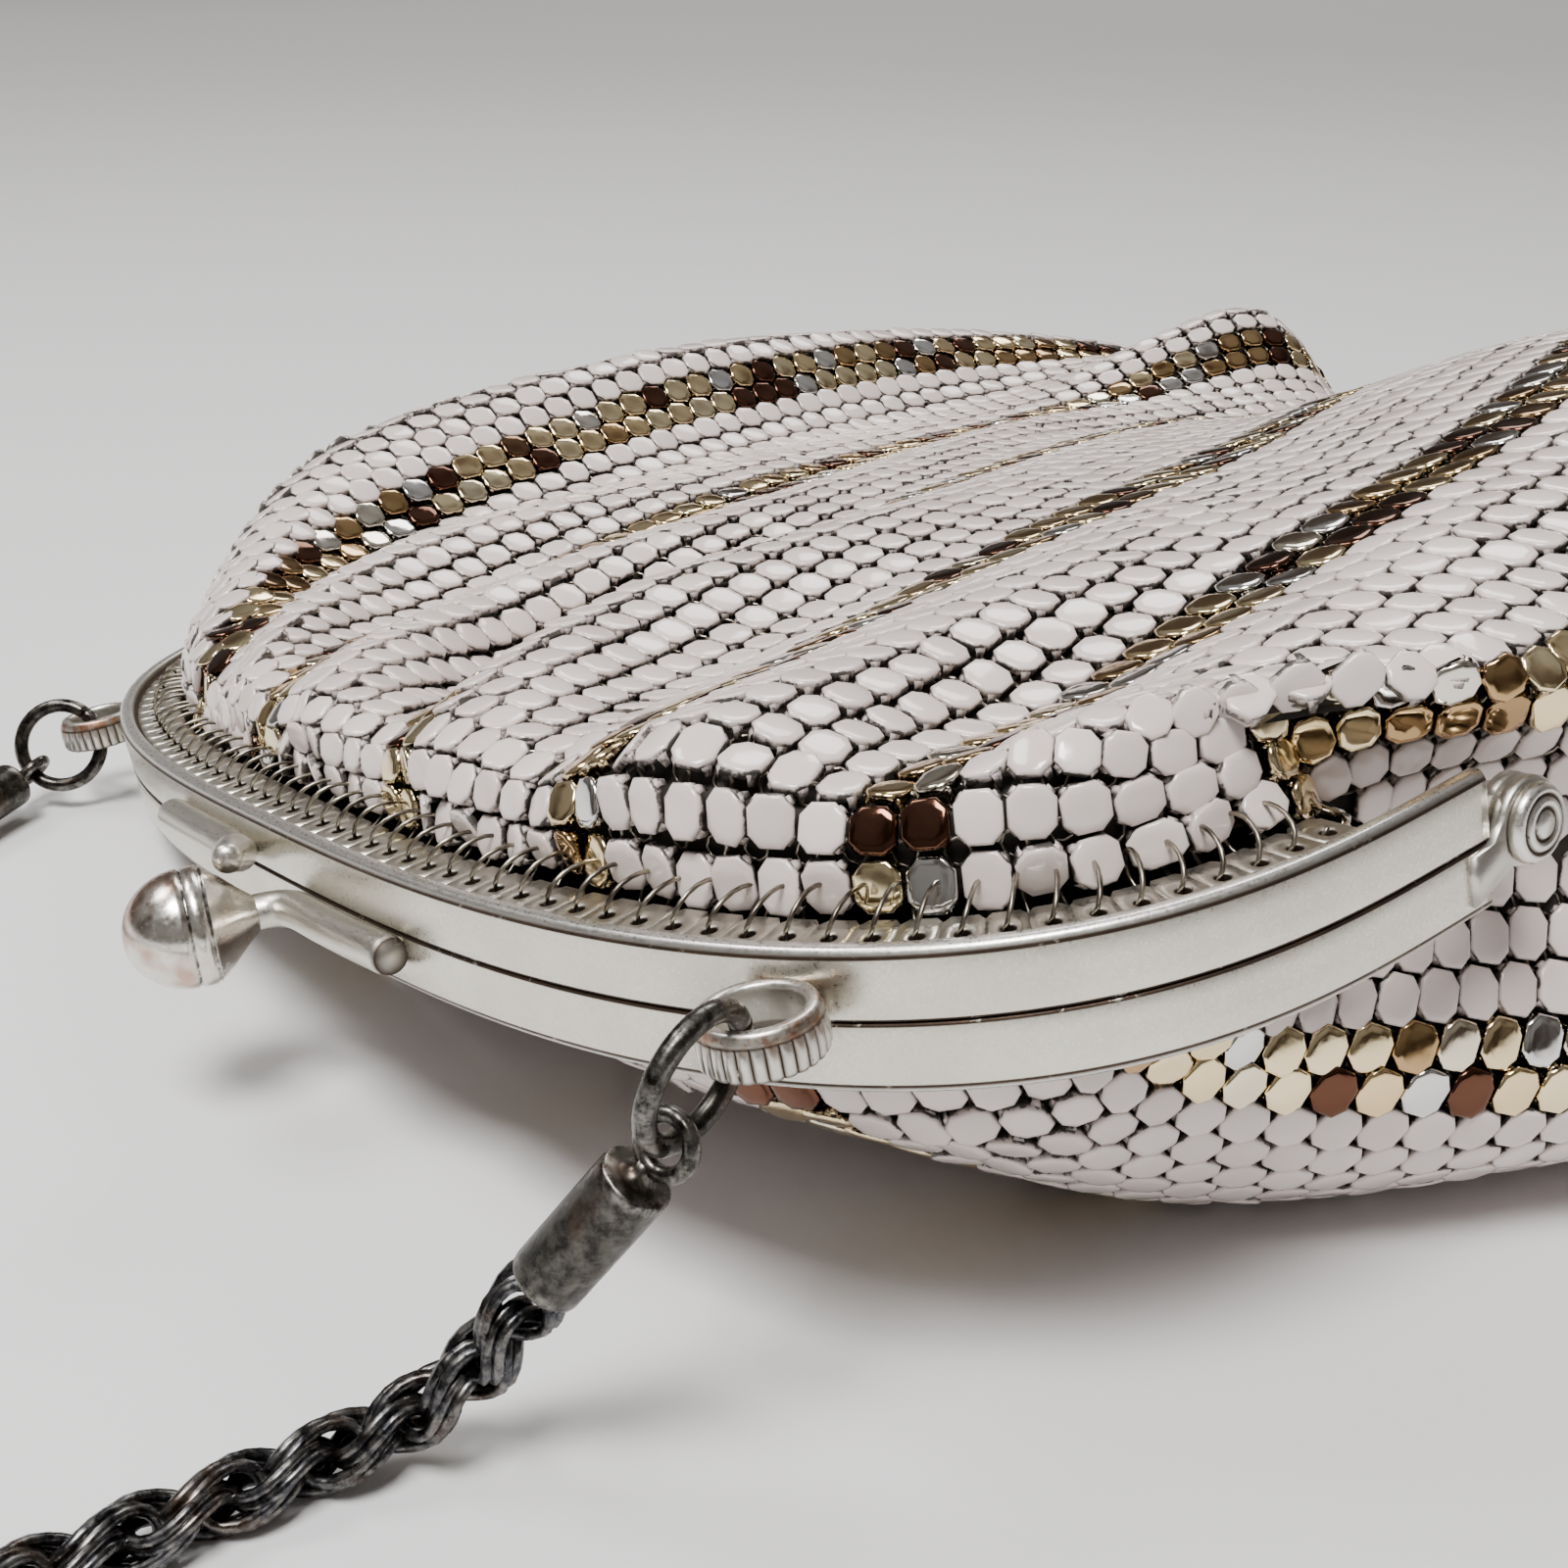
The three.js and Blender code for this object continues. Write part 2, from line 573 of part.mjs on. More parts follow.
const purse = new THREE.Group();
purse.add(frameGroup);
purse.add(named('mesh_bag', bag(), 'enamel'));
for (const [side, places] of Object.entries(ends)) {
  purse.add(named(`jump_ring_${side}`, jumpRing(places), 'dark'));
  purse.add(named(`chain_end_cap_${side}`, endCap(places), 'dark'));
}
purse.add(named('chain', chainTube(), 'dark'));

export default purse;
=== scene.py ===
"""Looks of a metal mesh purse that lies on its back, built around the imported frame.

Lengths in this file are millimetres in the table frame: +Z up, +Y from the catch to the bag's
bottom, +X to the right hinge. They turn into metres when a surface is put into a mesh.
"""

import bpy
import numpy as np
from mathutils import Matrix


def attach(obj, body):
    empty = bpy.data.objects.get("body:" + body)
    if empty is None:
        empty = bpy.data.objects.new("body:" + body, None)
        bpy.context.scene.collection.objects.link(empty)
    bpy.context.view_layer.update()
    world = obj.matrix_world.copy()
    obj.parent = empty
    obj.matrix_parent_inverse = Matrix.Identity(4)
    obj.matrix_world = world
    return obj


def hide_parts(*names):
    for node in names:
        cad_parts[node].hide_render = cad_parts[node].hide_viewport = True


MM = 0.001
TURN = 2 * np.pi
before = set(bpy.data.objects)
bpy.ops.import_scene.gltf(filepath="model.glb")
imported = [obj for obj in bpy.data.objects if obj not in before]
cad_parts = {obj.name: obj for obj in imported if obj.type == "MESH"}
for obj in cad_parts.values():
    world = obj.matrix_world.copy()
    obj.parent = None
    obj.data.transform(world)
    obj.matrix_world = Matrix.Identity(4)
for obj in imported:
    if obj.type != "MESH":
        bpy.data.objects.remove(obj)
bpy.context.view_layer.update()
rng = np.random.default_rng(7)

# The arch of the frame: half width, drop, roundness and heel, and how it lies on the table
ARCH_HALF, ARCH_DROP, ARCH_POWER, ARCH_HEEL = 70.6, 42.3, 2.87, 3.4
RIM_HEIGHT = 18.9
ROLL, PITCH = np.radians(-10.4), np.radians(4.5)
BAND_TOP, BAND_WALL, FLANGE_WIDTH, FLANGE_TOP = 4.3, 1.3, 3.9, 2.1

# The net of plates: pitch, columns round the bag, rows from the mouth, first column of a stripe
PLATE_PITCH, NET_COLUMNS, NET_ROWS, STRIPE = 3.5, 108, 58, 8
BAG_HALF, BAG_HEIGHT, BAG_LENGTH = 88.0, 46.0, 146.0
STATION_Y = np.array([0.24, 0.62, 0.89]) * BAG_LENGTH

# Fold lines of the bag: side, mouth and lip shares, then x and z shares at the shoulder (x of the
# arch), the middle, the far and the heel stations, as in the solid
FOLDS = np.array([
    [1, -1.00, 0.00, -0.93, 0.16, -0.97, 0.24, -1.00, 0.24, -0.92, 0.22],
    [1, -0.70, 0.45, -1.02, 0.54, -0.84, 0.65, -0.86, 0.57, -0.80, 0.38],
    [1, -0.42, 0.45, -0.86, 0.53, -0.74, 0.52, -0.78, 0.48, -0.72, 0.40],
    [1, -0.28, 0.40, -0.75, 0.42, -0.67, 0.45, -0.72, 0.43, -0.66, 0.50],
    [1, -0.22, 0.50, -0.66, 0.47, -0.58, 0.47, -0.66, 0.44, -0.59, 0.60],
    [1, -0.15, 0.40, -0.54, 0.40, -0.47, 0.46, -0.59, 0.43, -0.48, 0.42],
    [1, -0.05, 0.60, -0.36, 0.50, -0.36, 0.53, -0.52, 0.45, -0.40, 0.36],
    [1, 0.08, 0.40, -0.25, 0.40, -0.23, 0.55, -0.44, 0.44, -0.33, 0.32],
    [1, 0.16, 0.55, -0.07, 0.62, -0.10, 0.64, -0.34, 0.50, -0.26, 0.36],
    [1, 0.30, 0.40, 0.12, 0.58, 0.08, 0.70, -0.22, 0.55, -0.18, 0.38],
    [1, 0.44, 0.80, 0.45, 0.77, 0.26, 0.79, -0.06, 0.68, -0.06, 0.46],
    [1, 0.60, 0.45, 0.57, 0.72, 0.46, 0.90, 0.14, 0.86, 0.04, 0.55],
    [1, 0.76, 0.70, 0.77, 0.86, 0.60, 0.96, 0.34, 0.96, 0.22, 0.62],
    [1, 0.95, 0.55, 0.97, 0.88, 0.80, 0.84, 0.64, 0.80, 0.56, 0.52],
    [-1, 1.00, 0.00, 0.92, 0.62, 0.96, 0.46, 0.98, 0.34, 0.84, 0.24],
    [-1, 0.94, 0.45, 1.00, 0.30, 0.90, 0.12, 0.92, 0.08, 0.78, 0.06],
    [-1, 0.72, 0.70, 0.82, 0.05, 0.74, 0.00, 0.74, 0.00, 0.64, 0.00],
    [-1, 0.40, 0.60, 0.45, 0.00, 0.40, 0.00, 0.40, 0.00, 0.36, 0.00],
    [-1, 0.00, 0.50, 0.00, 0.00, 0.00, 0.00, -0.04, 0.00, -0.04, 0.00],
    [-1, -0.45, 0.40, -0.52, 0.00, -0.46, 0.00, -0.50, 0.00, -0.46, 0.00],
    [-1, -0.85, 0.30, -0.90, 0.00, -0.82, 0.00, -0.86, 0.00, -0.78, 0.00],
])



# Small tools for whole arrays of points

def unit(v):
    """v over its length along the last axis."""
    return v / np.maximum(np.linalg.norm(v, axis=-1, keepdims=True), 1e-9)


def smooth(x, low, high):
    """3t^2 - 2t^3 of x's share between low and high."""
    t = np.clip((x - low) / (high - low), 0, 1)
    return t * t * (3 - 2 * t)


def turn_x(a):
    """Turn about X by a."""
    return np.array([[1, 0, 0], [0, np.cos(a), -np.sin(a)], [0, np.sin(a), np.cos(a)]])


def turn_y(a):
    """Turn about Y by a."""
    return np.array([[np.cos(a), 0, np.sin(a)], [0, 1, 0], [-np.sin(a), 0, np.cos(a)]])


FRAME_TURN = turn_y(ROLL) @ turn_x(PITCH)
FRAME_UP = FRAME_TURN[:, 2]


def on_table(points):
    """Frame points turned by the roll and the pitch, then raised by the rim's height."""
    return points @ FRAME_TURN.T + [0, 0, RIM_HEIGHT]


def spline(points, steps, closed=False):
    """Centripetal Catmull-Rom curve through points along axis 0, steps samples a span.

    Between p1 and p2 it is the cubic whose end slopes are the chord slopes weighted by the
    square roots of the chord lengths."""
    p = np.asarray(points, float)
    if closed:
        p0, p1, p2, p3 = (np.roll(p, -k, axis=0) for k in (-1, 0, 1, 2))
    else:
        q = np.concatenate([[2 * p[0] - p[1]], p, [2 * p[-1] - p[-2]]])
        p0, p1, p2, p3 = q[:-3], q[1:-2], q[2:-1], q[3:]
    d0, d1, d2 = (np.maximum(np.linalg.norm(b - a, axis=-1, keepdims=True), 1e-6) ** 0.5
                  for a, b in ((p0, p1), (p1, p2), (p2, p3)))
    m1 = ((p1 - p0) / d0 - (p2 - p0) / (d0 + d1) + (p2 - p1) / d1) * d1
    m2 = ((p2 - p1) / d1 - (p3 - p1) / (d1 + d2) + (p3 - p2) / d2) * d1
    t = (np.arange(steps) / steps).reshape((steps,) + (1,) * p.ndim)
    a, b = 2 * p1 - 2 * p2 + m1 + m2, -3 * p1 + 3 * p2 - 2 * m1 - m2
    out = np.moveaxis(a * t ** 3 + b * t ** 2 + m1 * t + p1, 0, 1).reshape((-1,) + p.shape[1:])
    return out if closed else np.concatenate([out, p[-1:]])


def grid_faces(rows, columns, wrap_rows=False, wrap_columns=False, start=0):
    """Quads (i, j), (i+1, j), (i+1, j+1), (i, j+1) of a grid, joined round where it wraps."""
    i, j = np.meshgrid(np.arange(rows if wrap_rows else rows - 1),
                       np.arange(columns if wrap_columns else columns - 1), indexing="ij")
    i2, j2 = (i + 1) % rows, (j + 1) % columns
    return start + np.stack([i * columns + j, i2 * columns + j, i2 * columns + j2, i * columns + j2],
                            axis=-1).reshape(-1, 4)


def repeated(points, faces):
    """Copies (n, vertices, 3) of one shape joined, with the shape's faces shifted per copy."""
    count, size = points.shape[:2]
    shifted = [np.asarray(f)[None] + (np.arange(count) * size)[:, None, None] for f in faces]
    return points.reshape(-1, 3), [f.reshape(-1, f.shape[-1]) for f in shifted]


def put_in_mesh(name, points, faces, material, replaces=(), marks=None, flat=0):
    """Points in millimetres and arrays of triangles or quads as a piece on the frame's body; the
    last flat faces stay flat, the others are shaded smooth."""
    faces = [np.asarray(f) for f in (faces if isinstance(faces, list) else [faces])]
    mesh = bpy.data.meshes.new(name)
    points = np.ascontiguousarray(points.reshape(-1, 3) * MM, dtype=np.float32)
    loops = np.concatenate([f.ravel() for f in faces]).astype(np.int32)
    sizes = np.concatenate([np.full(len(f), f.shape[1]) for f in faces]).astype(np.int32)
    starts = np.concatenate([[0], np.cumsum(sizes)[:-1]]).astype(np.int32)
    mesh.vertices.add(len(points))
    mesh.vertices.foreach_set("co", points.ravel())
    mesh.loops.add(len(loops))
    mesh.loops.foreach_set("vertex_index", loops)
    mesh.polygons.add(len(sizes))
    mesh.polygons.foreach_set("loop_start", starts)
    mesh.update(calc_edges=True)
    mesh.validate()
    mesh.polygons.foreach_set("use_smooth", np.arange(len(mesh.polygons)) < len(mesh.polygons) - flat)
    for mark, values in (marks or {}).items():
        layer = mesh.attributes.new(mark, "FLOAT", "POINT")
        layer.data.foreach_set("value", np.asarray(values, np.float32).ravel())
    piece = bpy.data.objects.new(name, mesh)
    bpy.context.scene.collection.objects.link(piece)
    mesh.materials.append(material)
    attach(piece, "root")
    if replaces:
        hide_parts(*replaces)
    return piece


def joined(parts):
    """Several (points, faces) as one set of points and faces."""
    points, faces, start = [], [], 0
    for part_points, part_faces in parts:
        part_points = np.asarray(part_points).reshape(-1, 3)
        points.append(part_points)
        faces += [np.asarray(f) + start for f in
                  (part_faces if isinstance(part_faces, list) else [part_faces])]
        start += len(part_points)
    by_size = {}
    for f in faces:
        by_size.setdefault(f.shape[1], []).append(f)
    return np.concatenate(points), [np.concatenate(f) for f in by_size.values()]


def carried(path, radius_out, radius_up, side, count=16, closed=False, roll=0.0):
    """A section carried along a path: centre + across·a·cos(s) + up·b·sin(s), where up is the
    side vector made square to the path; radii may change along it."""
    path = np.asarray(path, float)
    tangent = unit(np.roll(path, -1, 0) - np.roll(path, 1, 0)) if closed else unit(np.gradient(path, axis=0))
    up = np.broadcast_to(side, path.shape)
    up = unit(up - tangent * np.sum(up * tangent, axis=1, keepdims=True))
    across = np.cross(tangent, up)
    s = np.arange(count) / count * TURN + roll
    a = np.broadcast_to(radius_out, len(path))[:, None, None]
    b = np.broadcast_to(radius_up, len(path))[:, None, None]
    points = path[:, None] + across[:, None] * (a * np.cos(s)[:, None]) + up[:, None] * (b * np.sin(s)[:, None])
    faces = [grid_faces(len(path), count, closed, True)]
    if not closed:
        centre = np.array([len(path) * count, len(path) * count + 1])
        ring = np.arange(count)
        last = (len(path) - 1) * count + ring
        faces.append(np.stack([np.full(count, centre[0]), ring, np.roll(ring, -1)], 1))
        faces.append(np.stack([np.full(count, centre[1]), np.roll(last, -1), last], 1))
        points = np.concatenate([points.reshape(-1, 3), path[[0]], path[[-1]]])
    return points.reshape(-1, 3), faces


def turned(profile, axis_point, axis, count=48, start=(1.0, 0.0, 0.0)):
    """A profile of (radius, height) turned about an axis: point + axis·h + ring(angle)·r."""
    profile = np.asarray(profile, float)
    axis = unit(np.asarray(axis, float))
    x = unit(np.asarray(start) - axis * np.dot(start, axis))
    y = np.cross(axis, x)
    s = np.arange(count) / count * TURN
    ring = np.cos(s)[:, None] * x + np.sin(s)[:, None] * y
    points = (np.asarray(axis_point) + profile[:, None, 1:] * axis
              + profile[:, None, :1] * ring[None])
    return points.reshape(-1, 3), [grid_faces(len(profile), count, False, True)[:, ::-1]]


# Where things lie: the arch by arc length, the bag's surface, and the net of plates on it

def arch_table():
    """Outer line of the arch, |x/a|^n + |y/b|^n = 1, with short straight heels, and its lengths."""
    t = np.linspace(-0.5, 0.5, 1601) * np.pi
    power = 2 / ARCH_POWER
    line = np.stack([ARCH_HALF * np.sign(t) * np.abs(np.sin(t)) ** power,
                     -ARCH_DROP * np.maximum(np.cos(t), 0) ** power], 1)
    heel = np.array([[-ARCH_HALF, ARCH_HEEL], [ARCH_HALF, ARCH_HEEL]])
    line = np.concatenate([heel[:1], line, heel[1:]])
    along = np.concatenate([[0], np.cumsum(np.linalg.norm(np.diff(line, axis=0), axis=1))])
    return line, along


ARCH_LINE, ARCH_ALONG = arch_table()
ARCH_LENGTH = ARCH_ALONG[-1]
ARCH_WAY = unit(np.stack([np.interp(ARCH_ALONG + 1, ARCH_ALONG, ARCH_LINE[:, k])
                          - np.interp(ARCH_ALONG - 1, ARCH_ALONG, ARCH_LINE[:, k]) for k in (0, 1)], 1))


def on_arch(arc, inset=0.0, level=0.0):
    """Frame points at an arc length from the catch, moved in by the inset and up to a level."""
    at = np.asarray(arc, float) + ARCH_LENGTH / 2
    x, y, wx, wy = (np.interp(at, ARCH_ALONG, column) for column in (*ARCH_LINE.T, *ARCH_WAY.T))
    return np.stack(np.broadcast_arrays(x - wy * inset, y + wx * inset, level), -1)


def bag_surface(per_fold=12, per_span=16):
    """Points (u, v) of the bag: fold lines from the mouth to the seam, splined round the bag
    through each station and then lengthwise through the seven knots of every line."""
    side, mouth, lip = FOLDS[:, 0], FOLDS[:, 1], FOLDS[:, 2]
    share = np.arange(len(FOLDS) * per_fold) / per_fold
    whole, part = share.astype(int), share % 1
    ahead = (whole + 1) % len(FOLDS)
    from_side = np.where(np.abs(mouth[whole]) == 1, 0, side[whole])
    to_side = np.where(np.abs(mouth[ahead]) == 1, 0, side[ahead])
    m = mouth[whole] + (mouth[ahead] - mouth[whole]) * part
    s = from_side + (to_side - from_side) * part
    rise = lip[whole] + (lip[ahead] - lip[whole]) * part
    arc = m * (ARCH_LENGTH / 2 - ARCH_HEEL)
    start = on_table(on_arch(arc, 6.1, s * 4.1))
    lips = on_table(on_arch(arc, 7.6, s * (4.1 + rise * 10)))
    edge = on_table(on_arch(mouth * (ARCH_LENGTH / 2 - ARCH_HEEL), 6.1, side * 4.1))
    y = np.stack([0.3 * edge[:, 1] + 3 + 9.8 * np.abs(mouth) ** 8, *np.repeat(STATION_Y[:, None], len(FOLDS), 1)], 1)
    x = FOLDS[:, 3::2] * [ARCH_HALF, BAG_HALF, BAG_HALF, BAG_HALF]
    knots = np.stack([x, y, FOLDS[:, 4::2] * BAG_HEIGHT], -1)
    seam_x = x[:, 3] * 0.94
    seam = np.stack([seam_x, BAG_LENGTH - 6 * (seam_x / BAG_HALF) ** 2, 5 + side * 1.5], -1)
    knots = np.concatenate([knots, seam[:, None]], 1)
    across = spline(knots, per_fold, closed=True)
    lines = np.concatenate([start[:, None], lips[:, None], across], 1)
    return spline(np.moveaxis(lines, 1, 0), per_span)


BAG = bag_surface()
BAG_V, BAG_U = BAG.shape[:2]


def on_bag(u, v):
    """Surface point and its two ways (per grid step) at grid places u (round) and v (down)."""
    v = np.clip(v, 0, BAG_V - 1.001)
    u0, v0 = np.floor(u).astype(int), np.floor(v).astype(int)
    fu, fv = (u - u0)[..., None], (v - v0)[..., None]
    a, b = BAG[v0, u0 % BAG_U], BAG[v0, (u0 + 1) % BAG_U]
    c, d = BAG[v0 + 1, u0 % BAG_U], BAG[v0 + 1, (u0 + 1) % BAG_U]
    top, low = a + (b - a) * fu, c + (d - c) * fu
    return top + (low - top) * fv, (b - a) * (1 - fv) + (d - c) * fv, low - top


def lay_net():
    """Grid places of the plates: columns start on the fold lines that the stripes follow, rows
    at equal lengths down the lines; settle then slides both over the surface until neighbours
    are a pitch apart, the way linked plates settle."""
    lengths = np.linalg.norm(np.roll(BAG, -1, 1) - BAG, axis=-1)
    down = np.concatenate([np.zeros((1, BAG_U)), np.cumsum(np.linalg.norm(np.diff(BAG, axis=0), axis=-1), 0)])
    per_fold = BAG_U // len(FOLDS)
    held_columns = np.array([-32, -24, -16, -8, 0, 8])
    held_folds = np.array([2.6, 4.45, 7.0, 9.0, 11.0, 13.1])
    columns = np.arange(NET_COLUMNS) - 40
    rows = np.arange(NET_ROWS)[:, None]
    v_guess = np.clip(rows / NET_ROWS * (BAG_V - 1), 0, BAG_V - 1) + 0 * columns
    ring = np.concatenate([np.zeros((BAG_V, 1)), np.cumsum(lengths, 1)], 1)
    u_at = np.empty((BAG_V, NET_COLUMNS))
    for k in range(BAG_V):
        anchors = np.interp(held_folds * per_fold, np.arange(BAG_U + 1), ring[k])
        total = ring[k, -1]
        c = np.concatenate([held_columns, [held_columns[0] + NET_COLUMNS]])
        length = np.concatenate([anchors, [anchors[0] + total]])
        along = np.interp((columns - c[0]) % NET_COLUMNS + c[0], c, length) % total
        u_at[k] = np.interp(along, ring[k], np.arange(BAG_U + 1))
    u_at = np.unwrap(np.unwrap(u_at, axis=1, period=BAG_U), axis=0, period=BAG_U)
    for _ in range(3):
        v0 = np.clip(v_guess.astype(int), 0, BAG_V - 1)
        u = u_at[v0, np.arange(NET_COLUMNS)]
        column = np.round(u).astype(int) % BAG_U
        v_guess = np.stack([np.interp(np.arange(NET_ROWS) * PLATE_PITCH + 0.9, down[:, column[0, k]],
                                      np.arange(BAG_V), right=BAG_V + 40) for k in range(NET_COLUMNS)], 1)
    return u, v_guess


def settle(u, v, rounds=600):
    """Slides the grid places so that every link comes near the pitch: each link's stretch, and
    a third of each diagonal's, is shared out to its ends and turned into steps of u and v. Where
    the corner between two links closes up, the place moves to the middle of its neighbours."""
    u, v = u.copy(), v.copy()
    last = BAG_V - 1
    home = u.copy()
    links = [(0, 1, 1.0, 1.0), (1, 0, 1.0, 1.0), (1, 1, 2 ** 0.5, 0.35), (1, -1, 2 ** 0.5, 0.35)]
    for _ in range(rounds):
        p, du, dv = on_bag(u, v)
        p = p + dv * np.maximum(v - last, 0)[..., None]
        push, weight = np.zeros_like(p), np.full(p.shape[:2] + (1,), 1e-6)
        for down_by, round_by, share, strength in links:
            end = np.roll(np.roll(p, -round_by, 1), -down_by, 0)
            gap = end - p
            length = np.linalg.norm(gap, axis=-1, keepdims=True)
            pull = gap * (1 - share * PLATE_PITCH / np.maximum(length, 0.3)) * 0.5 * strength
            used = np.full(length.shape, strength)
            if down_by:
                pull[-1], used[-1] = 0, 0
            push += pull - np.roll(np.roll(pull, round_by, 1), down_by, 0)
            weight += used + np.roll(np.roll(used, round_by, 1), down_by, 0)
        push *= 1.5 / weight
        a, b, c = np.sum(du * du, -1), np.sum(du * dv, -1), np.sum(dv * dv, -1)
        e, f = np.sum(du * push, -1), np.sum(dv * push, -1)
        det = np.maximum(a * c - b * b, 0.05 * a * c + 1e-9)
        su, sv = (c * e - b * f) / det, (a * f - b * e) / det
        su[0] *= 0.5
        sv[0] = 0
        u += np.clip(su, -0.3, 0.3)
        v += np.clip(sv, -0.3, 0.3)
        right, left, below, above = neighbours(u, v)
        here = np.stack([u, v])
        ways = [right - here, below - here, left - here, above - here]
        area = np.sqrt(np.maximum(a * c - b * b, 1e-9)) / PLATE_PITCH ** 2
        corner = np.min([(m[0] * k[1] - m[1] * k[0]) * area for m, k in zip(ways, ways[1:] + ways[:1])], axis=0)
        tight = np.clip((0.5 - corner) / 0.5, 0, 1)
        for _ in range(2):
            near = [np.roll(tight, 1, 1), np.roll(tight, -1, 1), np.roll(tight, 1, 0), np.roll(tight, -1, 0)]
            tight = np.maximum(tight, 0.6 * np.max(near, axis=0))
        share = 0.01 + 0.5 * tight
        middle = (right + left + below + above) / 4
        middle[:, 0] = (right[0, 0] + left[0, 0]) / 2, v[0]
        u += (middle[0] - u) * share + (home - u) * 0.0005
        v += (middle[1] - v) * share
        v = np.maximum(v, 0.0)
    return u, v


def neighbours(u, v):
    """Grid places right, left, below and above each one; u goes on by BAG_U past the closing."""
    here = np.stack([u, v])
    right, left = np.roll(here, -1, 2), np.roll(here, 1, 2)
    right[0, :, -1] += BAG_U
    left[0, :, 0] -= BAG_U
    below = np.concatenate([here[:, 1:], 2 * here[:, -1:] - here[:, -2:-1]], 1)
    above = np.concatenate([2 * here[:, :1] - here[:, 1:2], here[:, :-1]], 1)
    return right, left, below, above


def net_frames(u, v):
    """Place, evened-out surface ways and spacing of every plate on the bag."""
    p, du, dv = on_bag(u, v)
    p = p + dv * np.maximum(v - BAG_V + 1, 0)[..., None]
    round_way = np.roll(p, -1, 1) - np.roll(p, 1, 1)
    down_way = np.gradient(p, axis=0) * 2
    normal = unit(np.cross(du, dv))
    normal = unit(normal + 0.5 * sum(np.roll(normal, k, 1) for k in (-1, 1)))
    a, b = (unit(w - normal * np.sum(w * normal, -1, keepdims=True)) for w in (round_way, down_way))
    c, d = unit(a + b), unit(a - b)
    e1, e2 = unit(c + d), unit(c - d)
    gap = np.stack([np.linalg.norm(round_way, axis=-1), np.linalg.norm(down_way, axis=-1)], -1) / 2
    return p, e1, e2, unit(np.cross(e1, e2)), gap


def plate_shape():
    """One plate at pitch 3.5: an octagon with a low dome, rings of eight points (half side, cut)
    scaled and lowered to a rim and a skirt, and four tapered arms bent down at its corners."""
    long_side, cut = 1.62, 0.82
    eight = np.array([[long_side, cut], [cut, long_side]])
    turn90 = np.array([[0, -1], [1, 0]])
    ring = np.concatenate([eight @ np.linalg.matrix_power(turn90.T, k) for k in range(4)])
    rings = [(0.62, 0.085), (0.87, 0.03), (0.95, -0.03), (1.0, -0.17), (0.975, -0.62)]
    points = [np.column_stack([ring * s, np.full(8, z)]) for s, z in rings]
    body = np.concatenate(points)
    # Mark from 0 on the dome to past 1 on the skirt and the arm tips; it sets the chipped rims and the painted shade
    # where the plate turns down into the gaps.
    wear_and_shade = np.repeat([0.0, 0.05, 0.5, 1.02, 1.25], 8)
    lid = np.array([[0, 1, 2, 3], [0, 3, 4, 7], [4, 5, 6, 7]])
    sides = grid_faces(5, 8, False, True)
    arms, arm_faces = [], []
    for k in range(4):
        way = np.array([1, 1]) @ np.linalg.matrix_power(turn90.T, k) / 2 ** 0.5
        side = np.array([-way[1], way[0]])
        middle = (long_side + cut) / 2 ** 0.5
        for out, half, z, back in ((-0.20, 0.42, -0.12, 0.30), (0.13, 0.30, -0.55, 0.26), (0.06, 0.22, -1.15, 0.22)):
            base = way * (middle + out)
            arms += [[*(base - side * half), z], [*(base + side * half), z],
                     [*(base - way * back), z - 0.12]]
        start = 40 + 9 * k
        arm_faces += [[start + r * 3 + a, start + r * 3 + 3 + a, start + r * 3 + 3 + b, start + r * 3 + b]
                      for r in range(2) for a, b in ((0, 1), (1, 2), (2, 0))]
    caps = [[40 + 9 * k + 6, 40 + 9 * k + 8, 40 + 9 * k + 7] for k in range(4)]
    tips = [[40 + 9 * k, 40 + 9 * k + 1, 40 + 9 * k + 2] for k in range(4)]
    points = np.concatenate([body, np.array(arms)])
    wear_and_shade = np.concatenate([wear_and_shade, np.tile(np.repeat([0.45, 0.95, 1.2], 3), 4)])
    return points, wear_and_shade, [np.concatenate([sides, np.array(arm_faces), 32 + lid[:, ::-1]]),
                          np.array(caps + tips), lid]


def link_shape(around=8, sides=3):
    """One wire link: a small ring, mean radius 0.78 and wire 0.17, lying flat."""
    a, b = np.meshgrid(np.arange(around) / around * TURN, np.arange(sides) / sides * TURN, indexing="ij")
    r = 0.78 + 0.17 * np.cos(b)
    return np.stack([r * np.cos(a), r * np.sin(a), 0.17 * np.sin(b)], -1).reshape(-1, 3), \
        [grid_faces(around, sides, True, True)]
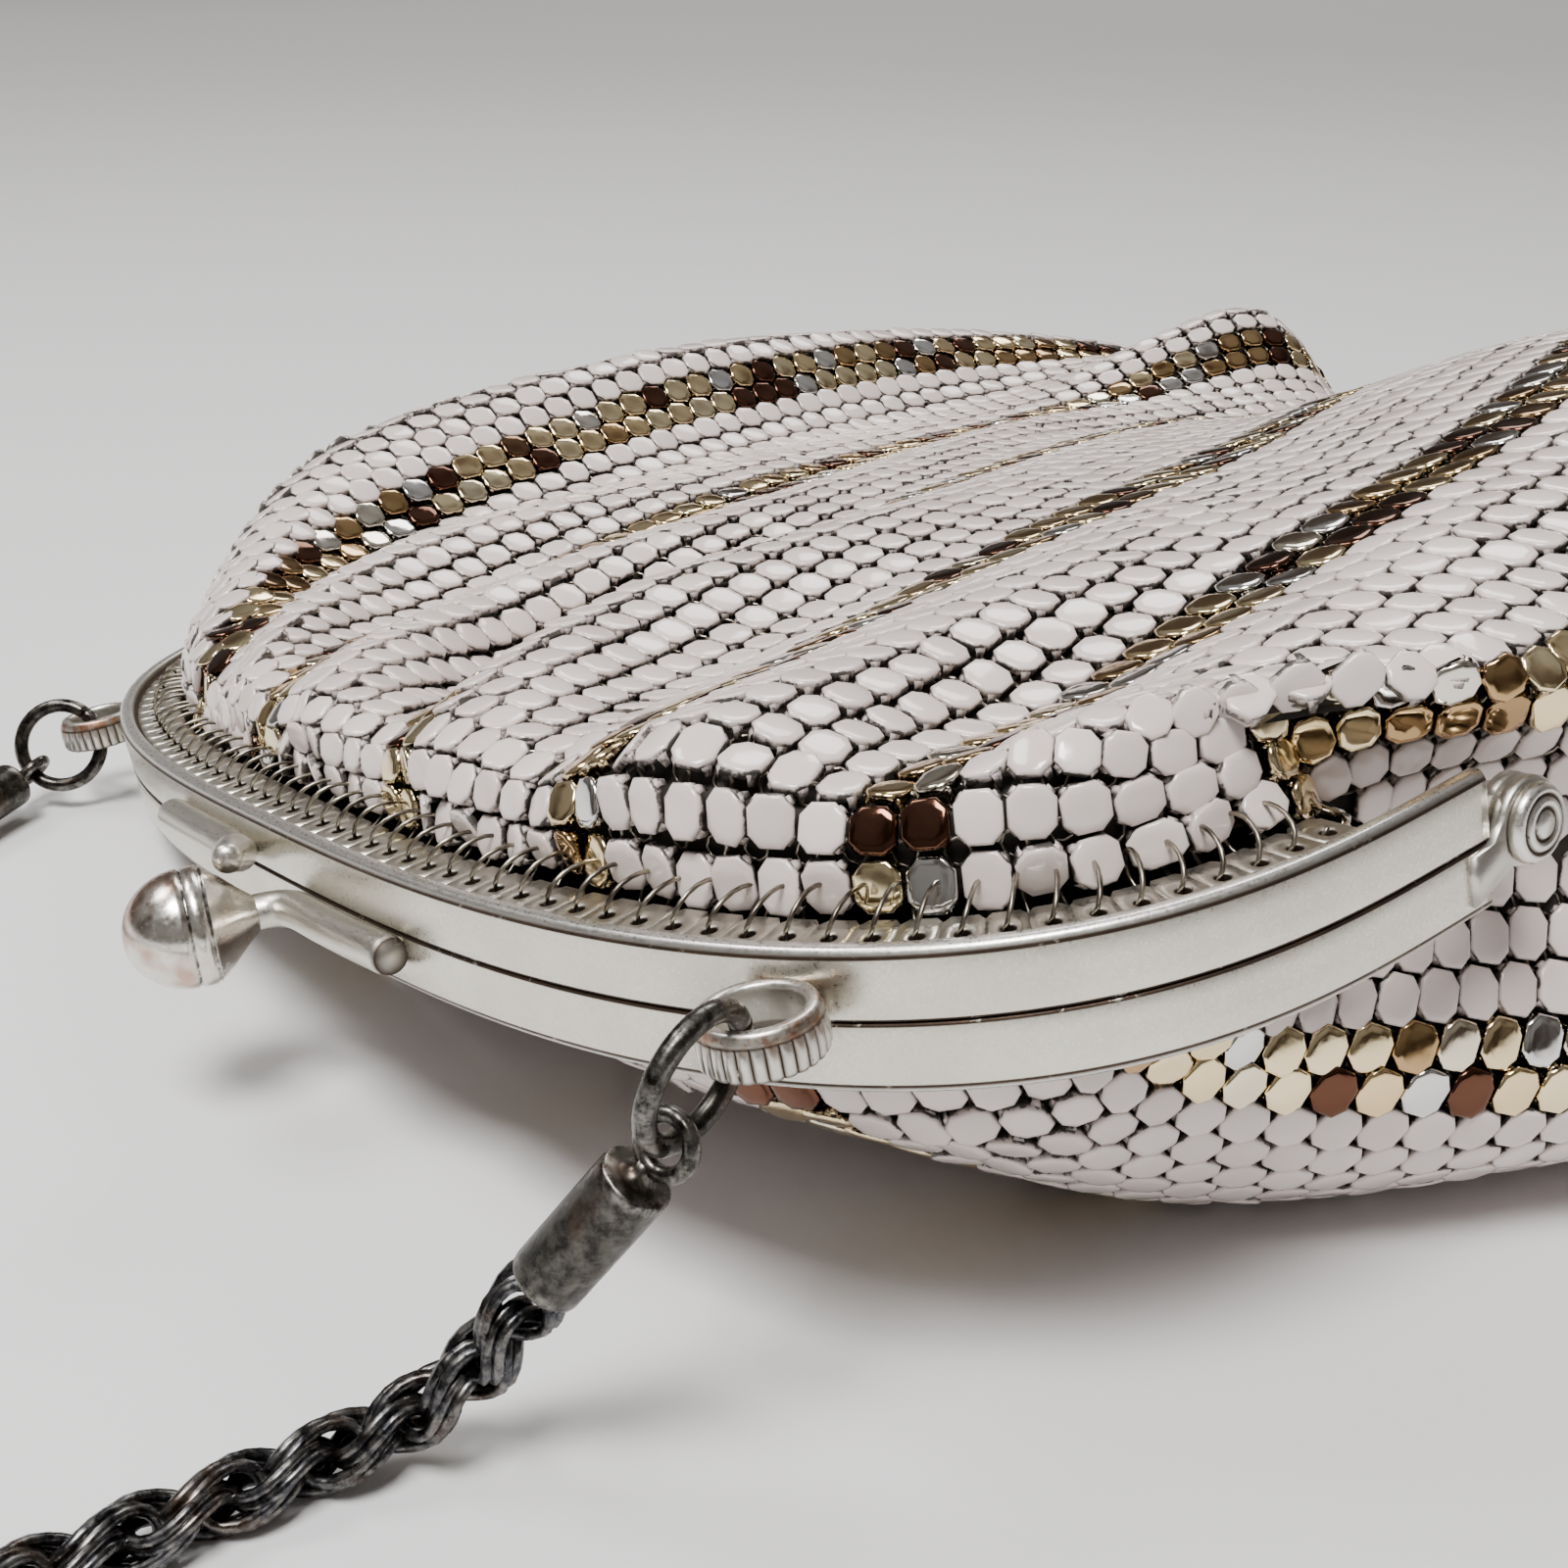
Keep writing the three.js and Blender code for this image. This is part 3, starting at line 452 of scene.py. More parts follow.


# Finishes: metal, enamel and tarnish, with painted shade and highlight, all from noise and from the pieces' own marks

class Finish:
    """A material with short ways to add its nodes; object coordinates are in metres."""

    def __init__(self, name):
        self.material = bpy.data.materials.new(name)
        self.material.use_nodes = True
        self.nodes = self.material.node_tree.nodes
        self.links = self.material.node_tree.links
        self.shader = self.nodes["Principled BSDF"]
        self.place = self.nodes.new("ShaderNodeTexCoord").outputs["Object"]

    def set(self, **values):
        for name, value in values.items():
            socket = self.shader.inputs[name.replace("_", " ").replace("Base Color", "Base Color")]
            if hasattr(value, "is_output"):
                self.links.new(value, socket)
            else:
                socket.default_value = (*value, 1) if isinstance(value, tuple) else value
        return self

    def noise(self, size_mm, detail=3, rough=0.55, distortion=0.0):
        node = self.nodes.new("ShaderNodeTexNoise")
        self.links.new(self.place, node.inputs["Vector"])
        node.inputs["Scale"].default_value = 1000 / size_mm
        node.inputs["Detail"].default_value = detail
        node.inputs["Roughness"].default_value = rough
        node.inputs["Distortion"].default_value = distortion
        return node.outputs["Fac"]

    def mark(self, name):
        node = self.nodes.new("ShaderNodeAttribute")
        node.attribute_name = name
        return node.outputs["Fac"]

    def span(self, value, low, high, to_low=0.0, to_high=1.0):
        node = self.nodes.new("ShaderNodeMapRange")
        self.links.new(value, node.inputs["Value"])
        for name, number in (("From Min", low), ("From Max", high), ("To Min", to_low), ("To Max", to_high)):
            node.inputs[name].default_value = number
        return node.outputs["Result"]

    def maths(self, kind, a, b):
        node = self.nodes.new("ShaderNodeMath")
        node.operation = kind
        for socket, value in zip(node.inputs, (a, b)):
            if hasattr(value, "is_output"):
                self.links.new(value, socket)
            else:
                socket.default_value = value
        return node.outputs["Value"]

    def blend(self, share, a, b):
        node = self.nodes.new("ShaderNodeMix")
        node.data_type = "RGBA"
        self.links.new(share, node.inputs["Factor"])
        for socket, value in ((node.inputs[6], a), (node.inputs[7], b)):
            if hasattr(value, "is_output"):
                self.links.new(value, socket)
            else:
                socket.default_value = (*value, 1)
        return node.outputs[2]

    def relief(self, height, strength, depth_mm):
        node = self.nodes.new("ShaderNodeBump")
        node.inputs["Strength"].default_value = strength
        node.inputs["Distance"].default_value = depth_mm * MM
        self.links.new(height, node.inputs["Height"])
        self.links.new(node.outputs["Normal"], self.shader.inputs["Normal"])
        return self


def satin_silver():
    """Worn silver plate: fine grain, paler silver painted on the marked rims and tops as highlight, and dark brown
    tarnishing along marked lines, which along the rods' undersides is painted shade.
    """
    f = Finish("satin_silver")
    grain, cloud, speck = f.noise(0.22, 2), f.noise(9, 3), f.noise(0.9, 4, 0.7)
    # Dark brown where the mark is set, broken by noise: tarnished lines, and painted shade along the rods' undersides.
    tarnish_and_shade = f.maths("MULTIPLY", f.mark("tarnish_and_shade"), f.span(f.noise(1.3, 4, 0.7), 0.20, 0.38))
    spots = f.span(speck, 0.70, 0.76)
    body = f.blend(f.span(cloud, 0.35, 0.7), (0.70, 0.665, 0.575), (0.80, 0.765, 0.68))
    # Painted highlight: paler silver where the rim mark is set, on the band's top and on raised rims, ridges and edges.
    body = f.blend(f.maths("MULTIPLY", f.mark("rim"), 0.8), body, (0.90, 0.885, 0.855))
    bare = f.maths("MULTIPLY", f.mark("copper"), f.span(f.noise(1.4, 4, 0.7), 0.44, 0.58))
    body = f.blend(bare, body, (0.52, 0.27, 0.17))
    dark = f.blend(f.noise(2.2), (0.022, 0.018, 0.015), (0.10, 0.066, 0.047))
    share = f.maths("MINIMUM", f.maths("ADD", tarnish_and_shade, f.maths("MULTIPLY", spots, 0.5)), 1.0)
    rough = f.maths("ADD", f.span(grain, 0.3, 0.7, 0.24, 0.40), f.maths("MULTIPLY", share, 0.25))
    return f.set(Base_Color=f.blend(share, body, dark), Metallic=1.0, Roughness=rough) \
        .relief(grain, 0.25, 0.03).material


def polished_knob():
    """Rubbed knob: silver with a copper-brown glow where the plate has worn, and dark grooves."""
    f = Finish("worn_knob")
    worn = f.maths("MULTIPLY", f.mark("rim"), f.span(f.noise(4.2, 2), 0.45, 0.56))
    body = f.blend(worn, (0.80, 0.77, 0.70), (0.48, 0.25, 0.17))
    spots = f.maths("MAXIMUM", f.maths("MULTIPLY", f.mark("tarnish_and_shade"), f.span(f.noise(0.9, 4, 0.7), 0.38, 0.58)),
                    f.span(f.noise(0.7, 3, 0.7), 0.69, 0.74))
    return f.set(Base_Color=f.blend(spots, body, (0.04, 0.03, 0.025)), Metallic=1.0,
                 Roughness=f.span(f.noise(0.4, 3), 0.3, 0.7, 0.16, 0.30)) \
        .relief(f.noise(0.5, 3), 0.2, 0.03).material


def enamel():
    """Warm white enamel: a glossy coat, tone from plate to plate, and darker rims: chipped and tarnished in places, and
    painted shade that deepens down the skirts and arms into the gaps.
    """
    f = Finish("white_enamel")
    tone = f.blend(f.mark("tone"), (0.80, 0.70, 0.665), (0.70, 0.595, 0.565))
    # Near-black where the mark, broken by noise, runs past 0.8: chipped rims, and painted shade on the skirts and arm
    # tips down in the gaps.
    worn = f.span(f.maths("ADD", f.mark("wear_and_shade"), f.span(f.noise(1.1, 4, 0.7), 0.3, 0.7, -0.55, 0.30)), 0.80, 1.02)
    # Painted shade: the colour darkens towards the rim, the skirt and the arms, where the plate turns down into the
    # gaps.
    painted_edge_shade = f.span(f.mark("wear_and_shade"), 0.55, 1.0, 0.0, 0.28)
    body = f.blend(painted_edge_shade, tone, (0.30, 0.26, 0.24))
    return f.set(Base_Color=f.blend(worn, body, (0.075, 0.066, 0.06)), Roughness=f.span(worn, 0.0, 1.0, 0.16, 0.42),
                 Coat_Weight=0.55, Coat_Roughness=0.04, Specular_IOR_Level=0.5) \
        .relief(f.noise(1.7, 2), 0.35, 0.10).material


def mirror_gold():
    """Pale gold and silver mirror plates: tone picks silver, pale gold or a deeper bronze."""
    f = Finish("gold_plate")
    tone = f.mark("tone")
    gold = f.blend(f.span(tone, 0.30, 0.78), (0.95, 0.80, 0.50), (0.80, 0.56, 0.28))
    gold = f.blend(f.span(tone, 0.10, 0.20, 1.0, 0.0), gold, (0.76, 0.75, 0.73))
    gold = f.blend(f.span(tone, 0.62, 0.66), gold, (0.50, 0.33, 0.16))
    gold = f.blend(f.span(tone, 0.80, 0.83), gold, (0.12, 0.055, 0.035))
    # Near-black where the mark, broken by noise, runs past 0.85: chipped rims, and painted shade on the skirts and arms
    # down in the gaps.
    worn = f.span(f.maths("ADD", f.mark("wear_and_shade"), f.span(f.noise(0.8, 4, 0.7), 0.3, 0.7, -0.5, 0.35)), 0.85, 1.05)
    return f.set(Base_Color=f.blend(worn, gold, (0.06, 0.045, 0.035)), Metallic=1.0,
                 Roughness=f.span(f.noise(1.6, 3), 0.35, 0.7, 0.05, 0.16)) \
        .relief(f.noise(1.9, 2), 0.30, 0.10).material


def dark_steel(name="tarnished_steel", light=(0.085, 0.08, 0.07), dark=(0.024, 0.022, 0.02)):
    """Tarnished wire and caps: dark skin, brown clouds, and lighter edges painted as highlight."""
    f = Finish(name)
    cloud = f.noise(1.1, 4, 0.65)
    body = f.blend(f.span(cloud, 0.42, 0.62), dark, light)
    body = f.blend(f.span(f.noise(3.7, 2), 0.50, 0.72, 0.0, 0.7), body, (0.10, 0.062, 0.04))
    # Painted highlight: paler grey where the rim mark is set, broken by noise, along the wires and the caps' edges.
    body = f.blend(f.maths("MULTIPLY", f.mark("rim"), f.span(f.noise(0.8, 4, 0.7), 0.42, 0.66)), body, (0.46, 0.44, 0.40))
    return f.set(Base_Color=body, Metallic=1.0, Roughness=f.span(f.noise(0.7, 3), 0.3, 0.7, 0.20, 0.42)) \
        .relief(f.noise(0.5, 3, 0.7), 0.12, 0.03).material


def link_wire():
    """Grey-gold wire of the links and of the sewing coil."""
    f = Finish("link_wire")
    body = f.blend(f.span(f.noise(1.5, 3), 0.35, 0.65), (0.13, 0.11, 0.09), (0.42, 0.38, 0.31))
    return f.set(Base_Color=body, Metallic=1.0, Roughness=0.30).material


def painted_shade_sheet():
    """Painted shade behind the links: a near-black sheet that stands in for the dark inside of the net."""
    f = Finish("net_shade")
    return f.set(Base_Color=f.blend(f.noise(1.2, 2), (0.018, 0.015, 0.013), (0.06, 0.052, 0.045)),
                 Roughness=0.7, Specular_IOR_Level=0.2).material


def floor_finish():
    """Pale seamless paper."""
    f = Finish("pale_paper")
    return f.set(Base_Color=f.blend(f.noise(400, 2), (0.74, 0.735, 0.735), (0.77, 0.765, 0.765)),
                 Roughness=0.8, Specular_IOR_Level=0.08).relief(f.noise(0.8, 2), 0.04, 0.1).material


# The camera at the photograph's angle, the paper under the purse and a soft studio round it

def set_camera():
    camera = bpy.data.cameras.new("camera")
    camera.lens, camera.sensor_width, camera.clip_start, camera.clip_end = 43.85, 36.0, 0.005, 20.0
    eye = bpy.data.objects.new("camera", camera)
    forward, right = unit(np.array([-0.7216, 0.5483, -0.4227])), unit(np.array([0.6050, 0.7961, 0.0]))
    up = np.cross(right, forward)
    turn = np.eye(4)
    turn[:3, :3] = np.stack([right, up, -forward], 1)
    turn[:3, 3] = np.array([122.6, -87.6, 80.9]) * MM
    eye.matrix_world = Matrix(turn.tolist())
    bpy.context.scene.collection.objects.link(eye)
    bpy.context.scene.camera = eye


def softbox(name, place, aim, size, watts, colour=(1, 1, 1), spread=180):
    """Area light at a place (metres), turned so that it looks at aim; spread is its beam in degrees."""
    lamp = bpy.data.lights.new(name, "AREA")
    lamp.shape, lamp.size, lamp.size_y, lamp.energy, lamp.color = "RECTANGLE", size[0], size[1], watts, colour
    lamp.spread = np.radians(spread)
    holder = bpy.data.objects.new(name, lamp)
    back = unit(np.array(place, float) - np.array(aim, float))
    side = unit(np.cross([0, 0, 1.0], back) + [1e-6, 0, 0])
    turn = np.eye(4)
    turn[:3, :3] = np.stack([side, np.cross(back, side), back], 1)
    turn[:3, 3] = place
    holder.matrix_world = Matrix(turn.tolist())
    bpy.context.scene.collection.objects.link(holder)


def set_studio():
    world = bpy.data.worlds.new("studio")
    bpy.context.scene.world = world
    world.use_nodes = True
    nodes, links = world.node_tree.nodes, world.node_tree.links
    split = nodes.new("ShaderNodeSeparateXYZ")
    links.new(nodes.new("ShaderNodeTexCoord").outputs["Generated"], split.inputs[0])
    ramp = nodes.new("ShaderNodeValToRGB")
    links.new(split.outputs["Z"], ramp.inputs["Fac"])
    stops = [(0.0, 0.26), (0.3, 0.46), (0.6, 0.50), (1.0, 0.85)]
    while len(ramp.color_ramp.elements) < len(stops):
        ramp.color_ramp.elements.new(0.5)
    for element, (at, grey) in zip(ramp.color_ramp.elements, stops):
        element.position, element.color = at, (grey, grey * (0.93 + 0.07 * at), grey * (0.86 + 0.14 * at), 1)
    room, patches = nodes.new("ShaderNodeTexNoise"), nodes.new("ShaderNodeValToRGB")
    links.new(split.inputs[0].links[0].from_socket, room.inputs["Vector"])
    room.inputs["Scale"].default_value, room.inputs["Detail"].default_value = 2.3, 1.0
    links.new(room.outputs["Fac"], patches.inputs["Fac"])
    for element, at, colour in zip(patches.color_ramp.elements, (0.42, 0.56), ((0.20, 0.13, 0.09, 1), (1, 1, 1, 1))):
        element.position, element.color = at, colour
    both = nodes.new("ShaderNodeMix")
    both.data_type, both.blend_type = "RGBA", "MULTIPLY"
    both.inputs["Factor"].default_value = 0.85
    links.new(ramp.outputs["Color"], both.inputs[6])
    links.new(patches.outputs["Color"], both.inputs[7])
    links.new(both.outputs[2], nodes["Background"].inputs["Color"])
    nodes["Background"].inputs["Strength"].default_value = 0.5
    softbox("window_softbox", (-1.45, 1.70, 2.05), (0.0, 0.03, 0.0), (1.3, 0.9), 24, (1.0, 0.985, 0.965))
    softbox("left_softbox", (-0.85, -0.55, 1.45), (0.0, 0.0, 0.0), (0.6, 0.45), 11, (1.0, 0.99, 0.98))
    softbox("top_softbox", (0.25, -0.45, 1.2), (0.1, -0.10, 0.0), (0.5, 0.4), 4.0, (1.0, 0.99, 0.98), 70)
    size = 12.0
    mesh = bpy.data.meshes.new("paper_floor")
    mesh.from_pydata([(-size, -size, 0), (size, -size, 0), (size, size, 0), (-size, size, 0)], [], [(0, 1, 2, 3)])
    floor = bpy.data.objects.new("paper_floor", mesh)
    mesh.materials.append(floor_finish())
    bpy.context.scene.collection.objects.link(floor)


# The bag: plates on their places, links in the gaps between them, and the shade inside

def dress_bag():
    u, v = settle(*lay_net())
    p, e1, e2, n, gap = net_frames(u, v)
    column = (np.arange(NET_COLUMNS) - 40 + NET_COLUMNS // 2) % NET_COLUMNS - NET_COLUMNS // 2
    row = np.arange(NET_ROWS)[:, None] + 0 * column
    held = v <= BAG_V - 0.7
    loose = np.clip(1.6 - row / 3.0, 0.35, 1.6)
    tilt = rng.normal(0, 0.055, (2,) + v.shape) * loose * 2.2
    spin = rng.normal(0, 0.035, v.shape) * loose
    n = unit(n + e1 * tilt[0][..., None] + e2 * tilt[1][..., None])
    e1 = unit(e1 - n * np.sum(e1 * n, -1, keepdims=True))
    e2 = np.cross(n, e1)
    e1, e2 = (e1 * np.cos(spin)[..., None] + e2 * np.sin(spin)[..., None],
              e2 * np.cos(spin)[..., None] - e1 * np.sin(spin)[..., None])
    crowded = gap < 0.52 * PLATE_PITCH
    held &= ~(crowded[..., 1] & (row % 2 == 1)) & ~(crowded[..., 0] & (column % 2 == 1))
    scale = np.clip(gap / PLATE_PITCH, 0.78, 1.04)
    stripe = np.isin(column % STRIPE, (0, 1))[None] & held
    upper = (n[..., 2] > -0.15) & held
    shape, wear_and_shade, faces = plate_shape()
    finishes = {"white": enamel(), "gold": mirror_gold()}
    groups = [("plates_white_front", held & ~stripe & upper & (row < 22), "white"),
              ("plates_white_back", held & ~stripe & upper & (row >= 22), "white"),
              ("plates_white_under", held & ~stripe & ~upper & (column % 2 == 0), "white"),
              ("plates_white_under_too", held & ~stripe & ~upper & (column % 2 == 1), "white"),
              ("plates_gold", stripe, "gold")]
    for name, chosen, finish in groups:
        s = scale[chosen][:, None]
        points = (p[chosen][:, None] + e1[chosen][:, None] * shape[None, :, :1] * s[..., :1]
                  + e2[chosen][:, None] * shape[None, :, 1:2] * s[..., 1:] + n[chosen][:, None] * (shape[None, :, 2:] - 0.02))
        count = len(points)
        tone = np.repeat(rng.random(count), len(shape))
        if finish == "white":
            tone = tone ** 2
        print(name, count)
        points, all_faces = repeated(points, faces)
        points[:, 2] = np.maximum(points[:, 2], 0.05)
        put_in_mesh(name, points, all_faces, finishes[finish], ["mesh_bag"],
                    {"wear_and_shade": np.tile(wear_and_shade, count), "tone": tone})
    corners = [np.roll(p, (-a, -b), (0, 1)) for a in (0, 1) for b in (0, 1)]
    middle = sum(corners) / 4
    kept = held & np.roll(held, -1, 0) & (row < NET_ROWS - 1)
    ring, ring_faces = link_shape()
    points = (middle[kept][:, None] + e1[kept][:, None] * ring[None, :, :1] + e2[kept][:, None] * ring[None, :, 1:2]
              + n[kept][:, None] * (ring[None, :, 2:] - 0.95))
    points, all_faces = repeated(points, ring_faces)
    points[:, 2] = np.maximum(points[:, 2], 0.05)
    half = len(ring_faces[0]) * (kept.sum() // 2)
    wire = link_wire()
    put_in_mesh("net_links_first", points, [all_faces[0][:half]], wire, ["mesh_bag"])
    put_in_mesh("net_links_second", points, [all_faces[0][half:]], wire, ["mesh_bag"])
    # A near-black sheet just inside the plates, evened out and in two layers with joined ends: painted shade for the
    # dark inside of the net.
    inside = BAG[:, ::2].copy()
    for _ in range(5):
        inside = (np.roll(inside, 1, 1) + 2 * inside + np.roll(inside, -1, 1)) / 4
        inside[1:-1] = (inside[2:] + 2 * inside[1:-1] + inside[:-2]) / 4
    way = np.cross(np.roll(inside, -1, 1) - np.roll(inside, 1, 1), np.gradient(inside, axis=0))
    way = unit(way)
    shells = [inside - way * 1.55, inside - way * 2.1]
    rows, columns = inside.shape[:2]
    points = np.concatenate([s[:-4] for s in shells])
    points[..., 2] = np.maximum(points[..., 2], 0.25)
    rows -= 4
    outer = grid_faces(rows, columns, False, True)
    first, last = np.arange(columns), (rows - 1) * columns + np.arange(columns)
    joins = [np.stack([k, np.roll(k, -1), np.roll(k, -1) + rows * columns, k + rows * columns], 1) for k in (first, last)]
    faces = np.concatenate([outer[:, ::-1], outer + rows * columns, joins[0][:, ::-1], joins[1]])
    put_in_mesh("net_shade", points.reshape(-1, 3), faces, painted_shade_sheet(), ["mesh_bag"])


# The frame: bands, flanges, ears, rivets, catch, milled rings and the sewing coils

BAND_PROFILE = np.array([  # inset, height, tarnish mark, rim mark (paler silver painted as highlight)
    [0.14, 0.04, 1.0, 0.0], [0.03, 0.10, 1.0, 0.0], [0.0, 0.20, 1.0, 0.0], [-0.02, 0.26, 0.0, 0.0], [-0.03, 1.2, 0.0, 0.0],
    [-0.04, 2.4, 0.0, 0.0], [-0.02, 3.66, 0.0, 0.0], [0.0, 3.73, 1.0, 0.0], [0.05, 3.86, 1.0, 0.1],
    [0.13, 4.08, 0.15, 1.0], [0.30, 4.26, 0.0, 1.0], [0.50, 4.30, 0.0, 1.0], [0.85, 4.30, 0.0, 1.0],
    [1.12, 4.24, 0.1, 0.8], [1.27, 4.10, 0.5, 0.3], [1.30, 3.95, 0.8, 0.0], [1.30, 3.66, 1.0, 0.0],
    [1.38, 3.54, 1.0, 0.0], [1.60, 3.50, 1.0, 0.0], [1.60, 2.62, 0.6, 0.0], [1.32, 2.60, 0.5, 0.0],
    [1.30, 0.95, 0.3, 0.0], [1.30, 0.15, 0.5, 0.0], [1.18, 0.05, 0.8, 0.0]])
SEW_PITCH, SEW_INSET, HOLE = 2.7, 3.2, 0.50
SEWN = ARCH_LENGTH - 17.2
SEW_COUNT = int(SEWN // SEW_PITCH)


def band(side):
    """The band's profile carried along the arch; side -1 is its mirror below the seam."""
    arcs = np.linspace(-0.5, 0.5, 281) * ARCH_LENGTH
    points = on_arch(arcs[:, None], BAND_PROFILE[None, :, 0], side * BAND_PROFILE[None, :, 1])
    count = len(BAND_PROFILE)
    faces = grid_faces(len(arcs), count, False, True)
    middle = points[[0, -1]].mean(axis=1)
    last = (len(arcs) - 1) * count
    ring = np.arange(count)
    caps = np.concatenate([np.stack([np.full(count, len(arcs) * count), np.roll(ring, -1), ring], 1),
                           np.stack([np.full(count, len(arcs) * count + 1), last + ring, last + np.roll(ring, -1)], 1)])
    faces, caps = (faces, caps[:, ::-1]) if side > 0 else (faces[:, ::-1], caps)
    points = np.concatenate([points.reshape(-1, 3), middle])
    marks = [np.append(np.tile(BAND_PROFILE[:, k], len(arcs)), [0.6 * (k == 2)] * 2) for k in (2, 3)]
    return points, [faces, caps], marks


def flange(side):
    """Sewing flange: square cells side by side along the arch, each with a round hole; the cell
    runs from the hole's circle out to the square, on its top, its underside and the hole's wall."""
    s = (np.arange(16) + 0.5) / 16 * TURN
    square = np.stack([np.cos(s), np.sin(s)], 1)
    square /= np.abs(square).max(axis=1, keepdims=True)
    circle = np.stack([np.cos(s), np.sin(s)], 1)
    half = np.array([SEWN / SEW_COUNT / 2, 1.95])
    middle_in = np.array([0.0, 3.45])
    hole_at = np.array([0.0, SEW_INSET])
    loops = [(square * half + middle_in, 2.62), (circle * (HOLE + 0.05) + hole_at, 2.62), (circle * HOLE + hole_at, 2.75),
             (circle * HOLE + hole_at, 3.38), (circle * (HOLE + 0.10) + hole_at, 3.50), (square * half + middle_in, 3.50)]
    arcs = (np.arange(SEW_COUNT) + 0.5) / SEW_COUNT * SEWN - SEWN / 2
    cell = np.stack([on_arch(arcs[:, None] + loop[None, :, 0], 0 * arcs[:, None] + loop[None, :, 1], side * z)
                     for loop, z in loops], 1)
    tarnish_and_shade = np.repeat([0.6, 1.0, 1.0, 1.0, 0.3, 0.05], 16)
    faces = grid_faces(len(loops), 16, True, True)
    points, faces = repeated(cell.reshape(SEW_COUNT, -1, 3), [faces if side > 0 else faces[:, ::-1]])
    return points, faces, [np.tile(tarnish_and_shade, SEW_COUNT), 0 * np.tile(tarnish_and_shade, SEW_COUNT)]


def ear(hand, side):
    """Hinge ear: a strap and a round plate as one outline, with a softened edge, carried through
    its thickness."""
    back = ARCH_HEEL + 3.4
    bend = np.radians(np.linspace(200, 490, 34))
    outline = np.concatenate([[[1.4, 0.35], [3.2, 0.12]],
                              np.stack([back + 2.75 * np.cos(bend), 2.75 * np.sin(bend)], 1), [[1.4, 3.4]]])
    outline[:, 1] *= side
    near = ARCH_HALF - 1.5 if side > 0 else ARCH_HALF - 0.4
    centre = np.array([back, 0.0])
    layers = [(0.94, 0.0), (1.0, 0.08), (1.0, 0.70), (0.94, 0.85)]
    rings = [np.column_stack([np.full(len(outline), hand * (near + depth)), centre + (outline - centre) * grow])
             for grow, depth in layers]
    points = np.concatenate([*rings, [[hand * near, *centre], [hand * (near + 0.85), *centre]]])
    count = len(outline)
    ring = np.arange(count)
    sides = grid_faces(4, count, False, True)
    caps = np.concatenate([np.stack([np.full(count, 4 * count), ring, np.roll(ring, -1)], 1),
                           np.stack([np.full(count, 4 * count + 1), 3 * count + np.roll(ring, -1), 3 * count + ring], 1)])
    if hand * side > 0:
        sides, caps = sides[:, ::-1], caps[:, ::-1]
    # Rim mark on the ear's edge: paler silver painted there as highlight.
    return points, [sides, caps], [np.full(len(points), 0.25), np.repeat([0.6, 0.0], [4 * count, 2])]


def rivet(hand):
    """Hinge rivet: a head of concentric rings outside, a shank and a plain head inside."""
    inner, outer = ARCH_HALF - 1.8, ARCH_HALF + 0.5
    profile = np.array([[0.0, outer + 1.0], [0.75, outer + 1.0], [0.9, outer + 0.82], [1.05, outer + 0.82], [1.2, outer + 0.98],
                        [1.55, outer + 0.95], [1.68, outer + 0.74], [1.82, outer + 0.74], [1.95, outer + 0.86],
                        [2.25, outer + 0.72], [2.42, outer + 0.45], [2.45, outer + 0.05], [2.3, outer], [1.0, outer],
                        [1.0, inner], [1.96, inner], [1.96, inner - 0.7], [1.7, inner - 0.95], [0.0, inner - 1.0]])
    points, faces = turned(profile, (0, ARCH_HEEL + 3.4, 0), (hand, 0, 0), 40, (0.0, 0.0, 1.0))
    tarnish_and_shade = np.repeat([0, 0.1, 1, 1, 0.1, 0.1, 1, 1, 0.1, 0, 0, 0.5, 1, 1, 1, 0.3, 0, 0, 0], 40)
    # Rim mark on the ridges of the rings: paler silver painted there as highlight.
    rim = np.repeat([0.7, 0.9, 0, 0, 0.9, 0.9, 0, 0, 0.9, 0.9, 0.4, 0, 0, 0, 0, 0, 0.3, 0.3, 0.3], 40)
    return points, [f[:, ::-1] for f in faces], [tarnish_and_shade, rim]


